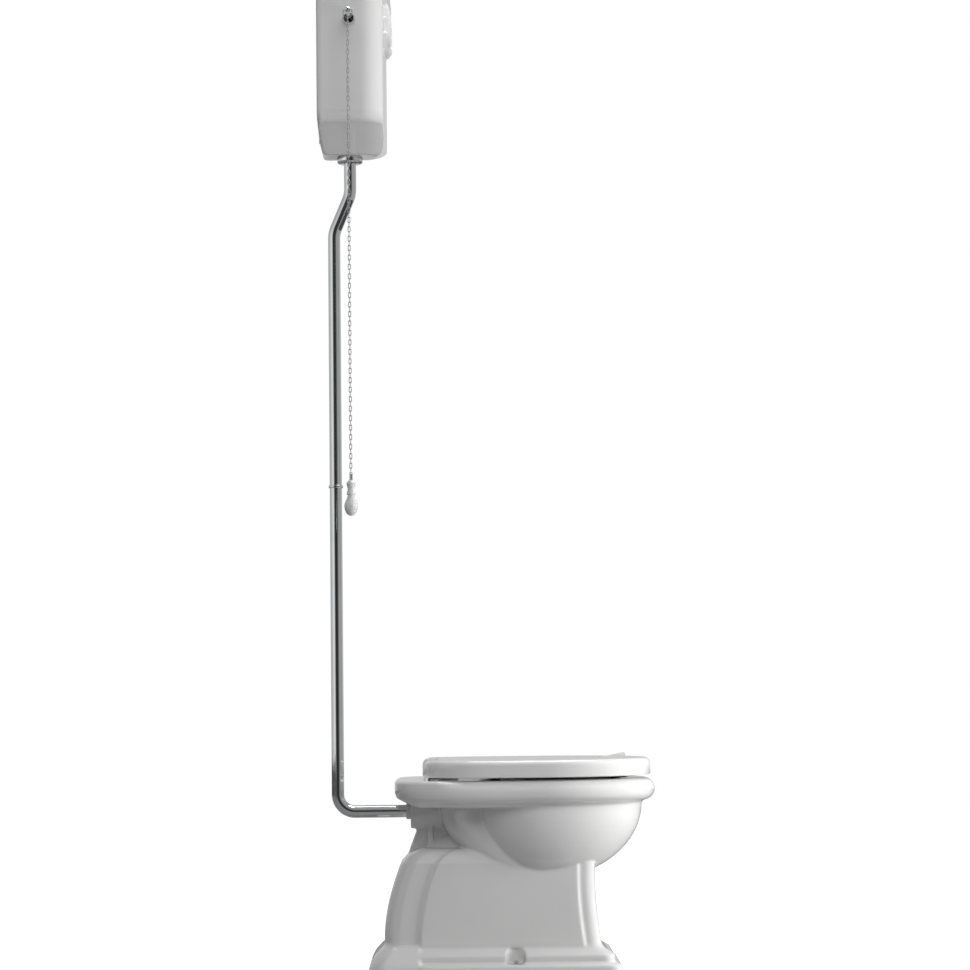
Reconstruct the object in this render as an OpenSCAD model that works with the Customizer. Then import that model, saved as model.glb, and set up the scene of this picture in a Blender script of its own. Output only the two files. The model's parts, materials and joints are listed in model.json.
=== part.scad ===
// High tank toilet with a pull chain: china pan, seat and lid, flush pipe and wall cistern.
// Millimetres. +X points to the front of the pan, +Y to the sitter's left, +Z up.
// The origin is the centre of the floor waste outlet, in the plane of the floor.

/* [Room] */
// Distance from the wall to the centre of the waste outlet
rough_in = 208; // [204:1:240]
// Height of the cistern's lower end edges above the floor
cistern_z = 1771; // [1650:1:1850]

/* [Pan] */
// Height of the pan's rim above the floor
rim_z = 415; // [408:1:430]
// Distance from the outlet's centre to the front of the rim
rim_front = 485; // [475:1:500]
// Distance from the outlet's centre back to the rear of the shelf
shelf_back = 58; // [52:1:66]
// Width across the rim
rim_w = 374; // [364:1:384]
// Height of the rim's rounded edge
rim_roll_h = 47; // [42:1:52]
// How far the rim stands out beyond the bowl
rim_overhang = 28; // [24:1:32]
// Depth of the bowl's outside below the rim
bowl_depth = 157; // [150:1:162]
// Thickness of the china
china_wall = 12; // [10:0.5:13]
// Width across the flat sides of the pedestal
pedestal_w = 186; // [176:1:196]
// Front of the pedestal's waist
pedestal_front = 354; // [346:1:362]
// Back of the pedestal above its foot
pedestal_back = 81; // [78:1:88]
// Height of the pedestal's rear shoulder
shoulder_z = 273; // [268:1:278]
// How far the plinth stands out from the pedestal
plinth_out = 38; // [34:1:40]
// How far the raised panel in each side stands out
panel_raise = 5; // [3:0.5:7]
// Outside diameter of the trap's outlet
outlet_od = 102; // [98:1:106]
// Bore of the trap's outlet
outlet_bore = 84; // [80:1:88]
// Diameter of the waterway through the trap
trap_bore = 76; // [70:1:80]

/* [Seat] */
// Height of the top of the lid
lid_top = 456; // [454:1:462]
// How far the lid's front stands back from the rim's front
lid_front_inset = 9; // [6:1:14]
// How far each side of the lid stands in from the rim's side
lid_side_inset = 2; // [1:0.5:6]
// Thickness of the lid's skirt
lid_wall = 5; // [4:0.5:6]
// Thickness of the lid's top
lid_plate = 11; // [9:0.5:11.5]
// Gap between the rim and the lid's skirt
lid_gap = 6; // [5.5:0.5:8]
// Thickness of the seat
seat_t = 20; // [18:0.5:20.5]
// Height of the rubber buffers under the seat
buffer_h = 5; // [4.5:0.25:5.5]
// Width of the seat's opening
seat_hole_w = 230; // [215:1:240]
// Distance between the centres of the seat's fixing holes
hinge_pitch = 156; // [152:1:160]
// Diameter of the hinge rod
hinge_pin_d = 8; // [7:0.5:9]

/* [Flush pipe] */
// Outside diameter of the flush pipe
pipe_d = 26; // [24:0.5:28]
// Wall of the flush pipe
pipe_wall = 1.2; // [1:0.1:1.6]
// Distance from the wall to the centre of the long straight run
pipe_standoff = 30; // [26:1:34]
// Distance from the wall to the centre of the cistern's outlet
outlet_standoff = 65; // [62:1:70]
// Height of the pipe's entry into the pan
inlet_z = 348; // [344:1:350]
// Height of the joint between the two pipes
joint_z = 1030; // [950:1:1100]
// Height of the foot of the offset bend
offset_z = 1571; // [1540:1:1580]
// Height over which the offset bend shifts the pipe
offset_h = 83; // [76:1:90]

/* [Cistern] */
// Width of the cistern body
cistern_w = 400; // [380:1:430]
// Depth of the cistern body from back to front
cistern_d = 137; // [134:1:145]
// Height of the cistern body
cistern_h = 312; // [308:1:330]
// Thickness of the cistern's walls
cistern_wall = 9; // [8:0.5:10]
// Radius of the front upright corners
cistern_corner = 46; // [40:1:50]
// Radius of the lower edges
cistern_edge = 25; // [20:1:28]
// How far the cistern's bottom falls from its ends to the outlet
well_drop = 36; // [20:1:44]
// Thickness of the cistern's lid
lid_slab = 24; // [20:1:28]
// Gap that the rubber wall buffers keep behind the cistern
wall_gap = 4; // [3:0.5:6]
// Distance between the two wall screws
wall_hole_pitch = 250; // [220:1:280]
// Diameter of the holes for the wall screws
wall_hole_d = 9; // [8:0.5:10]

/* [Lever and chain] */
// Height of the lever's axis above the cistern's underside
lever_up = 212; // [206:1:218]
// Reach of the lever outside its pivot
lever_out = 76; // [70:1:84]
// Thickness of the lever bar
lever_d = 8; // [7:0.5:9]
// Diameter of the lever's round escutcheon
escutcheon_d = 27; // [26:0.5:30]
// Thickness of the chain's wire
chain_wire = 1.6; // [1.4:0.1:1.8]
// Distance from one chain link to the next
chain_pitch = 9.6; // [9.2:0.2:10.4]
// Number of links in the chain
chain_links = 97; // [80:1:100]
// Length of the china pull handle
handle_l = 71; // [64:1:80]
// Largest diameter of the china pull handle
handle_d = 27.6; // [24:0.2:30]

/* [Valves] */
// Thread diameter of the flush valve's tail
valve_tail_d = 42; // [40:0.5:43]
// Diameter of the overflow tube
overflow_d = 24; // [22:0.5:26]
// Height of the top of the overflow tube above the cistern's underside
overflow_up = 186; // [178:1:190]
// Outside diameter of the water inlet's threaded tail
inlet_tail_d = 20.96; // [20.5:0.02:21.5]
// Length of the water inlet's tail outside the cistern
inlet_tail_l = 34; // [30:1:40]
// Diameter of the float
float_d = 84; // [76:1:86]

/* [Hidden] */
$fn = 48;

china = [0.93, 0.93, 0.92];
chrome = [0.75, 0.77, 0.80];
seat_white = [0.96, 0.96, 0.95];
rubber = [0.16, 0.16, 0.17];
brass = [0.78, 0.62, 0.30];
plastic = [0.86, 0.87, 0.88];

wall_x = -rough_in;
overlap = 1;
fit = 0.1;
touch = 0.05;

// ---------- curves and lofted castings ----------

function signed_power(v, p) = sign(v) * pow(abs(v), p);
function smooth(a, b, v) = let (t = min(1, max(0, (v - a) / (b - a)))) t * t * (3 - 2 * t);
function unit(v) = v / norm(v);

// Egg-shaped outline: a half ellipse in front, a squarer half ellipse behind.
function egg(front, back, half_w, mid, square, n) = [
    for (i = [0:n - 1])
        let (a = 360 * i / n, c = cos(a), s = sin(a), p = c >= 0 ? 1 : 2 / square)
        [mid + (c >= 0 ? front - mid : mid - back) * signed_power(c, p),
         half_w * signed_power(s, p)]
];

// Outward unit normal of a closed outline at point i.
function outward(outline, i) =
    let (n = len(outline), d = outline[(i + 1) % n] - outline[(i + n - 1) % n])
    unit([d[1], -d[0]]);

function offset_outline(outline, d) = [
    for (i = [0:len(outline) - 1]) outline[i] + d * outward(outline, i)
];

function at_height(outline, z) = [for (p = outline) [p[0], p[1], z]];

// Solid through a stack of level rings, lowest first.
module loft(rings) {
    n = len(rings[0]);
    top = (len(rings) - 1) * n;
    polyhedron(
        points = [for (ring = rings) each ring],
        faces = concat(
            [[for (i = [0:n - 1]) i]],
            [[for (i = [n - 1:-1:0]) top + i]],
            [for (k = [0:len(rings) - 2], i = [0:n - 1])
                [k * n + i, (k + 1) * n + i, (k + 1) * n + (i + 1) % n]],
            [for (k = [0:len(rings) - 2], i = [0:n - 1])
                [k * n + i, (k + 1) * n + (i + 1) % n, k * n + (i + 1) % n]]
        )
    );
}

// Ring-shaped solid through closed sections, one after another round the ring.
module loop_loft(sections) {
    n = len(sections[0]);
    m = len(sections);
    polyhedron(
        points = [for (section = sections) each section],
        faces = [for (k = [0:m - 1], i = [0:n - 1], half = [0, 1])
            let (a = k * n + i, b = k * n + (i + 1) % n,
                 c = ((k + 1) % m) * n + (i + 1) % n, d = ((k + 1) % m) * n + i)
            half == 0 ? [a, b, c] : [a, c, d]]
    );
}

// Round tube core along a bent line in the XZ plane.
module bent_rod(path, r, sides) {
    loft([
        for (k = [0:len(path) - 1])
            let (ahead = path[min(k + 1, len(path) - 1)] - path[max(k - 1, 0)],
                 t = unit(ahead), across = [t[2], 0, -t[0]])
            [for (i = [0:sides - 1])
                path[k] + r * (cos(360 * i / sides) * across + sin(360 * i / sides) * [0, 1, 0])]
    ]);
}

module along_y(x, y, z) {
    translate([x, y, z]) rotate([-90, 0, 0]) children();
}

module along_x(x, y, z) {
    translate([x, y, z]) rotate([0, 90, 0]) children();
}

module both_sides(y) {
    for (side = [-1, 1]) translate([0, side * y, 0]) children();
}

module tube(r_out, r_in, h) {
    difference() {
        cylinder(r = r_out, h = h);
        translate([0, 0, -overlap]) cylinder(r = r_in, h = h + 2 * overlap);
    }
}

// ---------- pan ----------

rim_half = rim_w / 2;
rim_mid = rim_front - 235;
rim_r = rim_roll_h / 2;
roll_z = rim_z - rim_r;
bowl_top = rim_z - 54;
bowl_front = rim_front - rim_overhang;
bowl_half = rim_half - rim_overhang;
shelf_front = 80 - shelf_back;
bowl_back = shelf_front + 78;
rim_points = 56;
mouth_front = rim_front - 55;
mouth_back = bowl_back + 30;
mouth_half = rim_half - 59;
mouth_mid = rim_mid + 20;
mouth_lip = 39;
pedestal_half = pedestal_w / 2;
hinge_x = 14;
pocket_top = rim_z - 14;
stud_r = 4;
inlet_bore_r = 20;
inlet_bore_l = 50;
inlet_boss_r = 29;
boss_back = -26;
outlet_h = 70;
horn_l = 60;
horn_r = outlet_od / 2 + 4;
ledge_z = 41;
floor_hole_x = 187;
floor_hole_y = pedestal_half + 22;
floor_hole_r = 4.6;
notch_r = 19.5;
notch_h = 31;

rim_outline = egg(rim_front, -shelf_back, rim_half, rim_mid, 5, rim_points);

// How far the rounded edge stands out at one height, taken from the widest outline.
function roll_inset(z) =
    let (h = (z - roll_z) / rim_r)
    abs(h) >= 1 ? -rim_r : -rim_r * (1 - sqrt(1 - h * h));
// The same for the flat shelf behind it, with its sloping underside.
shelf_low = rim_z - 37;
function shelf_inset(z) =
    z < shelf_low ? -4 - (shelf_low - z) * 1.93
    : z < rim_z - 25 ? -4 * (rim_z - 25 - z) / 12
    : z > rim_z - 7 ? -6 * pow((z - rim_z + 7) / 7, 2) : 0;
function rim_ring(z, extra) = at_height([
    for (i = [0:rim_points - 1])
        let (p = rim_outline[i], k = smooth(shelf_front, shelf_front + 68, p[0]))
        p + (k * (roll_inset(z) + extra) + (1 - k) * shelf_inset(z)) * outward(rim_outline, i)
], z);

module rim_and_shelf() {
    neck = bowl_top + 6;
    loft(concat(
        [rim_ring(bowl_top - 1, rim_r - rim_overhang - 2)],
        [rim_ring(neck, rim_r - rim_overhang + 4)],
        [for (a = [-75:15:75]) rim_ring(roll_z + rim_r * sin(a), 0)],
        [rim_ring(rim_z, 0)]
    ));
}

bowl_points = 52;
function bowl_ring(z, front, back, half_w) =
    at_height(egg(front, back, half_w, rim_mid, 2.2, bowl_points), z);

// The bowl is fuller across than along: its width follows a squarer curve.
bowl_fullness = 0.8;
module bowl_outside() {
    loft([for (a = [88, 80, 70, 60, 50, 40, 30, 20, 10, 0])
        let (k = cos(a))
        bowl_ring(bowl_top + 2 - (bowl_depth + 2) * sin(a),
                  rim_mid + (bowl_front - rim_mid) * k,
                  rim_mid - (rim_mid - bowl_back) * k, bowl_half * pow(k, bowl_fullness))]);
}

// Inside of the bowl at each level: depth below the bowl's top, then how far it stands in
// from the rim's front, from the back of the bowl and from the rim's side.
sump_levels = [
    [229, 230, 110, 163], [216, 213, 97, 147], [191, 200, 91, 137], [161, 180, 87, 125],
    [139, 150, 79, 107], [116, 113, 66, 87], [91, 81, 50, 69], [61, 57, 32, 53], [31, 45,
    20, 44], [0, 41, 13, 41]
];
function sump_ring(level, grow) =
    let (front = rim_front - level[1] + grow, back = bowl_back + level[2] - grow)
    at_height(egg(front, back, rim_half - level[3] + grow, (front + back) / 2 + 12, 2.2, 44),
              bowl_top - level[0]);

module bowl_cavity() {
    loft([for (level = sump_levels) sump_ring(level, 0)]);
    loft([
        at_height(egg(mouth_front + 12, mouth_back - 14, mouth_half + 16, mouth_mid, 2.2, 44),
                  bowl_top - 1),
        at_height(egg(mouth_front + 6, mouth_back - 4, mouth_half + 5, mouth_mid, 2.2, 44),
                  rim_z - mouth_lip - 6),
        at_height(egg(mouth_front - 5, mouth_back + 5, mouth_half - 5, mouth_mid, 2.2, 44),
                  rim_z - mouth_lip),
        at_height(egg(mouth_front - 6, mouth_back + 6, mouth_half - 6, mouth_mid, 2.2, 44),
                  rim_z - 10),
        at_height(egg(mouth_front - 3, mouth_back + 3, mouth_half - 3, mouth_mid, 2.2, 44),
                  rim_z - 3),
        at_height(egg(mouth_front + 2, mouth_back - 2, mouth_half + 2, mouth_mid, 2.2, 44),
                  rim_z + overlap)
    ]);
}

// Flushing channel inside the rim, open downwards behind the lip.
module rim_channel() {
    function around(d, z) = at_height(egg(mouth_front + d, mouth_back - d, mouth_half + d,
                                          mouth_mid, 2.2, 44), z);
    function under_rim(z) = at_height(egg(rim_front - 15, 96, rim_half - 15, rim_mid, 2.4, 44), z);
    roof = rim_z - china_wall;
    difference() {
        loft([under_rim(rim_z - 38), under_rim(roof)]);
        loft([around(2, rim_z - 60), around(10, roof + overlap)]);
    }
    loft([
        at_height(egg(mouth_front + 12, mouth_back - 14, mouth_half + 16, mouth_mid, 2.2, 44),
                  bowl_top - 1),
        under_rim(rim_z - 37)
    ]);
}

// Space under the shelf for the seat's fixings, on both sides of the inlet.
module shelf_hollow() {
    skirt = 15;
    outline = offset_outline(rim_outline, -skirt);
    for (side = [-1, 1]) intersection() {
        loft([at_height(outline, bowl_top - 20), at_height(outline, pocket_top)]);
        translate([-shelf_back, side < 0 ? -rim_half : inlet_boss_r + 7, bowl_top - 30])
            cube([shelf_back + 26, rim_half - inlet_boss_r - 7, 100]);
    }
}

module sump_outside() {
    loft([for (k = [0:5]) [for (p = sump_ring(sump_levels[k], china_wall))
        p - [0, 0, (k == 0 ? china_wall : 0)]]]);
}

// Waterway of the trap: from the sump over the weir and down to the outlet.
weir_z = 255;
trap_path = [
    [238, 0, 168], [205, 0, 160], [170, 0, 172], [135, 0, 202], [106, 0, 235],
    [78, 0, weir_z], [46, 0, weir_z - 4], [20, 0, weir_z - 27], [5, 0, weir_z - 62],
    [0, 0, weir_z - 100], [0, 0, 60]
];

// Pedestal: how far the plinth's two steps stand out at each height, and its plain round heel.
function foot_curve(z) = lookup(z, [
    [0, 0.9], [10, 0.88], [20, 0.87], [36, 0.865], [39, 0.82], [42, 0.6], [44, 0.55], [56, 0.6],
    [59, 0.55], [65, 0.3], [70, 0.12], [75, 0.03], [80, 0]
]);
function heel_curve(z) = lookup(z, [
    [0, 0.92], [20, 0.88], [36, 0.82], [44, 0.74], [56, 0.57], [65, 0.37], [70, 0.25],
    [75, 0.1], [80, 0]
]);
function waist(z) = 11 * pow(max(0, (200 - z) / 120), 1.6);
function heel(z) = 41 * pow(max(0, (z - 91) / 165), 1.9);
shoulder_r = 28;
function shoulder_inset(z) =
    let (d = z - shoulder_z + shoulder_r)
    d <= 0 ? 0 : shoulder_r - sqrt(max(0, shoulder_r * shoulder_r - d * d)) + 3;

band_w = 70;
front_band_w = 32;

function pedestal_side(z) =
    let (
        foot = plinth_out * foot_curve(z), back_foot = plinth_out * heel_curve(z),
        s = shoulder_inset(z), raised = panel_raise * smooth(70, 80, z),
        w = pedestal_half + 0.35 * waist(z),
        front = pedestal_front + waist(z) + foot - s,
        back = -pedestal_back + heel(z) - back_foot + s,
        wf = w + foot - s, wb = w + back_foot - s,
        rf = 24, rb = 34,
        panel_end = front - foot - front_band_w, panel_start = back + back_foot + band_w
    )
    concat(
        [for (a = [0:15:90]) [front - rf + rf * cos(a), wf - rf + rf * sin(a)]],
        [[panel_end, wf], [panel_end - 3, wf + 0.7 * raised], [panel_end - 6, wf + raised]],
        [for (k = [1:3]) [panel_end + (panel_start - panel_end) * k / 4, wf + raised]],
        [[panel_start + 6, wf + raised], [panel_start + 3, (wf + wb) / 2 + 0.5 * raised],
         [panel_start, wb]],
        [for (a = [90:15:180]) [back + rb + rb * cos(a), wb - rb + rb * sin(a)]]
    );
function pedestal_ring(z) =
    let (side = pedestal_side(z), n = len(side))
    at_height(concat(side, [for (i = [n - 1:-1:0]) [side[i][0], -side[i][1]]]), z);

module pedestal_outside() {
    loft([for (z = [
        0, 10, 20, 36, 39, 42, 44, 50, 56, 59, 65, 70, 75, 80, 91, 125, 160, 195, 225,
        shoulder_z - shoulder_r, shoulder_z - 18, shoulder_z - 10, shoulder_z - 4, shoulder_z
    ]) pedestal_ring(z)]);
}

module pedestal_hollow() {
    function inner(z, d) = at_height([
        [pedestal_front - d, pedestal_half - 3 * d / 2],
        [-pedestal_back + heel(z) + d, pedestal_half - 3 * d / 2],
        [-pedestal_back + heel(z) + d, -pedestal_half + 3 * d / 2],
        [pedestal_front - d, -pedestal_half + 3 * d / 2]
    ], z);
    foot = china_wall + 6 - plinth_out;
    difference() {
        loft([inner(-overlap, foot), inner(34, foot), inner(78, china_wall),
              inner(150, china_wall), inner(205, 1.4 * china_wall)]);
        both_sides(floor_hole_y) translate([floor_hole_x, 0, -2 * overlap])
            cylinder(r = 15, h = 100, $fn = 24);
        sump_outside();
        bent_rod(trap_path, trap_bore / 2 + china_wall, 28);
        translate([0, 0, -2 * overlap]) cylinder(r = horn_r, h = 170, $fn = 40);
    }
}

// The china round the trap's upper limb, which swells into the bowl and is drawn in below.
// Each level: its height, how far back it reaches and its half width.
limb_levels = [
    [229, 165, 96], [236, 145, 98], [244, 128, 100], [253, 110, 101], [262, 94, 101],
    [272, 78, 101], [285, 63, 100], [300, 50, 98], [320, 40, 95], [345, 34, 91],
    [rim_z - 30, 31, 90]
];
limb_front = 250;
limb_mid = 190;
// Wall of the trap's bend behind the limb, and the points of the waterway that it goes round.
bend_wall = 9;
bend_points = [4:9];
module trap_limb() {
    loft([for (k = limb_levels)
        at_height(egg(limb_front, k[1], k[2], limb_mid, 3, 40), k[0])]);
    bent_rod([for (k = bend_points) trap_path[k]], trap_bore / 2 + bend_wall, 28);
}

// Thin upright web under the inlet, and the short strut across it.
web_t = 24;
strut_x = 9;
strut_w = 11;
strut_half = 24;
module inlet_web() {
    translate([0, web_t / 2, 0]) rotate([90, 0, 0]) linear_extrude(web_t)
        polygon([[-14, 345], [-14, 308], [-36, 250], [-46, 230], [-46, 200], [60, 200], [60, 345]]);
    translate([strut_x, -strut_half, shoulder_z - 20]) cube([strut_w, 2 * strut_half, 77]);
}

module pan_casting() {
    difference() {
        union() {
            rim_and_shelf();
            bowl_outside();
            pedestal_outside();
            trap_limb();
            inlet_web();
            along_x(boss_back, 0, inlet_z - 7) cylinder(r = inlet_boss_r, h = 140, $fn = 40);
        }
        pedestal_hollow();
        bowl_cavity();
        rim_channel();
        shelf_hollow();
        bent_rod(trap_path, trap_bore / 2, 28);
        along_x(20, 0, inlet_z) cylinder(r = 15, h = 110, $fn = 32);
    }
}

// The pan is cast as three parts that meet on level planes: foot, bowl and rim.
foot_top = 200;
rim_bottom = rim_z - 43;
slab_l = 800;

// The casting between two levels, set to its exact width across the rim.
module casting_between(low, high) {
    resize([0, 0, high - low]) intersection() {
        resize([0, rim_w, 0]) pan_casting();
        translate([-slab_l / 2, -slab_l / 2, low]) cube([1.5 * slab_l, slab_l, high - low]);
    }
}

module pan_rim() {
    color(china) difference() {
        casting_between(rim_bottom, rim_z);
        both_sides(hinge_pitch / 2)
            translate([hinge_x, 0, pocket_top - 5]) cylinder(r = stud_r + 0.5, h = 40);
    }
}

module pan_bowl() {
    color(china) difference() {
        casting_between(foot_top, rim_bottom);
        along_x(boss_back - 30, 0, inlet_z) cylinder(r = inlet_bore_r, h = inlet_bore_l + 30);
    }
}

module pan_foot() {
    color(china) difference() {
        casting_between(0, foot_top);
        translate([0, 0, -overlap]) cylinder(d = outlet_bore, h = outlet_h + overlap);
        // The outlet's horn is turned to its exact outside size.
        translate([0, 0, -overlap]) difference() {
            cylinder(r = horn_r + 6, h = horn_l + overlap);
            translate([0, 0, -overlap]) cylinder(d = outlet_od, h = horn_l + 3 * overlap);
        }
        both_sides(floor_hole_y) translate([floor_hole_x, 0, 0]) {
            translate([0, 0, -overlap]) cylinder(r = floor_hole_r, h = ledge_z + 5);
            translate([0, 0, ledge_z]) cylinder(r = notch_r, h = notch_h);
        }
    }
}

screw_r = 3;
module floor_screws() {
    color(chrome) both_sides(floor_hole_y) translate([floor_hole_x, 0, 0]) {
        translate([0, 0, 1]) cylinder(r = screw_r, h = ledge_z + 2);
        translate([0, 0, ledge_z + 2]) cylinder(r = 5.5, h = 3);
    }
}

module floor_screw_bushes() {
    color(plastic) both_sides(floor_hole_y) translate([floor_hole_x, 0, ledge_z])
        difference() {
            union() {
                cylinder(r = 7.5, h = 2);
                translate([0, 0, -14]) cylinder(r = floor_hole_r - touch, h = 14);
            }
            translate([0, 0, -15]) cylinder(r = screw_r + touch, h = 18);
        }
}

module floor_screw_caps() {
    cap_r = 8.6;
    color(chrome) both_sides(floor_hole_y) translate([floor_hole_x, 0, ledge_z + touch])
        rotate_extrude() polygon(concat(
            [[7.6, 0], [cap_r, 0], [cap_r, 2]],
            [for (a = [10:10:80]) [cap_r * cos(a), 2 + 6 * sin(a)]],
            [[0, 8], [0, 7], [5.6, 5.6], [7.6, 2.4]]
        ));
}

// ---------- seat and lid ----------

lid_l = rim_front - lid_front_inset;
lid_w = rim_w - 2 * lid_side_inset;
lid_bottom = rim_z + lid_gap;
lid_mid = rim_mid;
lid_points = 56;
lid_outline = egg(lid_l, 0, lid_w / 2, lid_mid, 5, lid_points);
seat_bottom = rim_z + buffer_h;
seat_top = seat_bottom + seat_t;
hinge_z = rim_z + 22;
pillar_r = 8;
knuckle_r = 7;
knuckle_w = 12;
arm_t = 3;
arm_l = 60;
notch_x = 34;
notch_half = hinge_pitch / 2 + 36;
seat_arm_y = hinge_pitch / 2 + pillar_r + 4;
lid_arm_y = hinge_pitch / 2 - pillar_r - 4 - knuckle_w;
knuckle_gap = 8;

// Room for the hinges in the rear edge, from a distance inner each side of the middle.
module hinge_notch(inner) {
    for (side = [-1, 1])
        translate([-20, side < 0 ? -notch_half : inner, rim_z - 10])
            cube([20 + notch_x, notch_half - inner, lid_top - rim_z + 30]);
}

module lid_shell() {
    edge = 11;
    loft(concat(
        [at_height(offset_outline(lid_outline, -2), lid_bottom)],
        [at_height(lid_outline, lid_bottom + 3)],
        [for (a = [0:18:90])
            at_height(offset_outline(lid_outline, -edge * (1 - cos(a))),
                      lid_top - edge + edge * sin(a))]
    ));
}

module lid_inside() {
    loft([
        at_height(offset_outline(lid_outline, -lid_wall), lid_bottom - overlap),
        at_height(offset_outline(lid_outline, -lid_wall), lid_top - lid_plate - 6),
        at_height(offset_outline(lid_outline, -lid_wall - 6), lid_top - lid_plate)
    ]);
}

lift_l = 51;
lift_h = 9;
lift_w = 24;
lift_back = 104;

// Low tab on top of the lid, rising to the front, for lifting it.
module finger_lift() {
    translate([lid_l - lift_back, lift_w / 2, lid_top - 2]) rotate([90, 0, 0])
        linear_extrude(lift_w) polygon([
            [0, 0], [0, 2], [lift_l - 5, lift_h + 2], [lift_l, lift_h + 2], [lift_l, 0]
        ]);
}

module seat_lid() {
    color(seat_white) difference() {
        union() {
            lid_shell();
            finger_lift();
        }
        lid_inside();
        hinge_notch(lid_arm_y - knuckle_gap);
    }
}

seat_inset = lid_wall + 3;
seat_hole_front = mouth_front - 15;
seat_hole_back = mouth_back - 8;
function seat_section(i) =
    let (
        outer = offset_outline(lid_outline, -seat_inset)[i],
        inner = egg(seat_hole_front, seat_hole_back, seat_hole_w / 2, lid_mid + 15, 2.2,
                    lid_points)[i],
        d = outer - inner, l = norm(d), u = d / l
    )
    [for (k = [[0, 5], [3, 1.5], [8, 0], [l - 5, 0], [l - 1.5, 2], [l, 6],
               [l, seat_t - 7], [l - 2, seat_t - 2.5], [l - 7, seat_t], [l * 0.45, seat_t - 1],
               [8, seat_t - 4], [2, seat_t - 8]])
        [inner[0] + u[0] * k[0], inner[1] + u[1] * k[0], seat_bottom + k[1]]];

module seat_ring() {
    // The seat is set to its exact width.
    color(seat_white) resize([0, lid_w - 2 * seat_inset, 0]) difference() {
        loop_loft([for (i = [lid_points - 1:-1:0]) seat_section(i)]);
        hinge_notch(0);
    }
}

module buffers(r, h) {
    for (p = [[seat_hole_back + 28, lid_w / 2 - 39], [lid_l - 78, lid_w / 2 - 97]], side = [-1, 1])
        translate([p[0], side * p[1], 0]) {
            cylinder(r = r, h = h - 1);
            translate([0, 0, h - 1]) cylinder(r1 = r, r2 = r - 1, h = 1);
        }
}

module seat_buffers() {
    color(rubber) translate([0, 0, rim_z + touch]) buffers(9, buffer_h - touch);
}

lid_inner_top = lid_top - lid_plate;
module lid_buffers() {
    color(rubber) translate([0, 0, lid_inner_top]) mirror([0, 0, 1])
        buffers(7, lid_inner_top - seat_top - touch);
}

module hinge_pillars() {
    color(chrome) both_sides(hinge_pitch / 2) translate([hinge_x, 0, 0]) difference() {
        union() {
            translate([0, 0, rim_z]) cylinder(r = 12, h = 3);
            translate([0, 0, rim_z]) cylinder(r = pillar_r - 2, h = hinge_z - rim_z);
            translate([0, 0, hinge_z]) sphere(r = pillar_r);
            translate([0, 0, pocket_top - 17]) cylinder(r = stud_r, h = rim_z - pocket_top + 18);
        }
        along_y(0, -2 * pillar_r, hinge_z) cylinder(r = hinge_pin_d / 2 + touch, h = 4 * pillar_r);
    }
}

module hinge_pin() {
    half = seat_arm_y + knuckle_w + 2;
    color(chrome) {
        along_y(hinge_x, -half, hinge_z) cylinder(d = hinge_pin_d, h = 2 * half);
        for (side = [-1, 1])
            along_y(hinge_x, side * half - (side < 0 ? 2 : 0), hinge_z)
                cylinder(d = hinge_pin_d + 4, h = 2);
    }
}

// One hinge arm: a knuckle on the rod and a plate that reaches forward.
module hinge_arm(plate_z) {
    low = min(plate_z, hinge_z - knuckle_r / 2);
    high = max(plate_z + arm_t, hinge_z + knuckle_r / 2);
    difference() {
        union() {
            along_y(hinge_x, 0, hinge_z) cylinder(r = knuckle_r, h = knuckle_w);
            translate([hinge_x, 0, plate_z]) cube([arm_l, knuckle_w, arm_t]);
            translate([hinge_x + hinge_pin_d / 2 + 1, 0, low]) cube([arm_t, knuckle_w, high - low]);
        }
        along_y(hinge_x, -overlap, hinge_z)
            cylinder(r = hinge_pin_d / 2 + fit, h = knuckle_w + 2 * overlap);
    }
}

module seat_hinge_arms() {
    color(chrome) for (y = [seat_arm_y, -seat_arm_y - knuckle_w]) translate([0, y, 0])
        hinge_arm(seat_bottom - arm_t);
}

module lid_hinge_arms() {
    color(chrome) for (y = [lid_arm_y, -lid_arm_y - knuckle_w]) translate([0, y, 0])
        hinge_arm(lid_inner_top - arm_t);
}

washer_t = 3;
module hinge_washers() {
    color(rubber) both_sides(hinge_pitch / 2)
        translate([hinge_x, 0, pocket_top - washer_t]) tube(12, stud_r + touch, washer_t);
}

wing_l = 29;
module hinge_wing_nuts() {
    color(brass) both_sides(hinge_pitch / 2)
        translate([hinge_x, 0, pocket_top - washer_t - 10]) difference() {
            union() {
                cylinder(r = 8, h = 10);
                translate([-1.5, -wing_l / 2, -5]) cube([3, wing_l, 11]);
            }
            translate([0, 0, -6]) cylinder(r = stud_r + touch, h = 20);
        }
}

// ---------- flush pipe ----------

pipe_r = pipe_d / 2;
run_x = wall_x + pipe_standoff;
outlet_x = wall_x + outlet_standoff;
shift = outlet_x - run_x;
bend_angle = atan(shift / offset_h);
offset_bend_r = 60;
elbow_r = 36;
pipe_end_x = boss_back + inlet_bore_l - 6;
nut_h = 14;
well_z = cistern_z - well_drop;
pipe_top_z = well_z - 6;

// A straight length of pipe from x, z, leaning forward by angle from upright.
module straight(x, z, angle, length) {
    translate([x, 0, z]) rotate([0, angle, 0]) linear_extrude(length) pipe_section();
}

// Bend of pipe whose centre is at x, z: it starts at angle a and turns by sweep.
module bend(x, z, radius, a, sweep) {
    translate([x, 0, z]) rotate([90, 0, 0]) rotate([0, 0, a])
        rotate_extrude(angle = sweep) translate([radius, 0]) pipe_section();
}

module pipe_section() {
    difference() {
        circle(r = pipe_r);
        circle(r = pipe_r - pipe_wall);
    }
}

module flush_pipe_lower() {
    elbow_z = inlet_z + elbow_r;
    color(chrome) {
        straight(run_x, elbow_z, 0, joint_z - elbow_z);
        bend(run_x + elbow_r, elbow_z, elbow_r, 180, 90);
        straight(run_x + elbow_r, inlet_z, 90, pipe_end_x - run_x - elbow_r);
    }
}

bend_reach = offset_bend_r * tan(bend_angle / 2);

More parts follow.
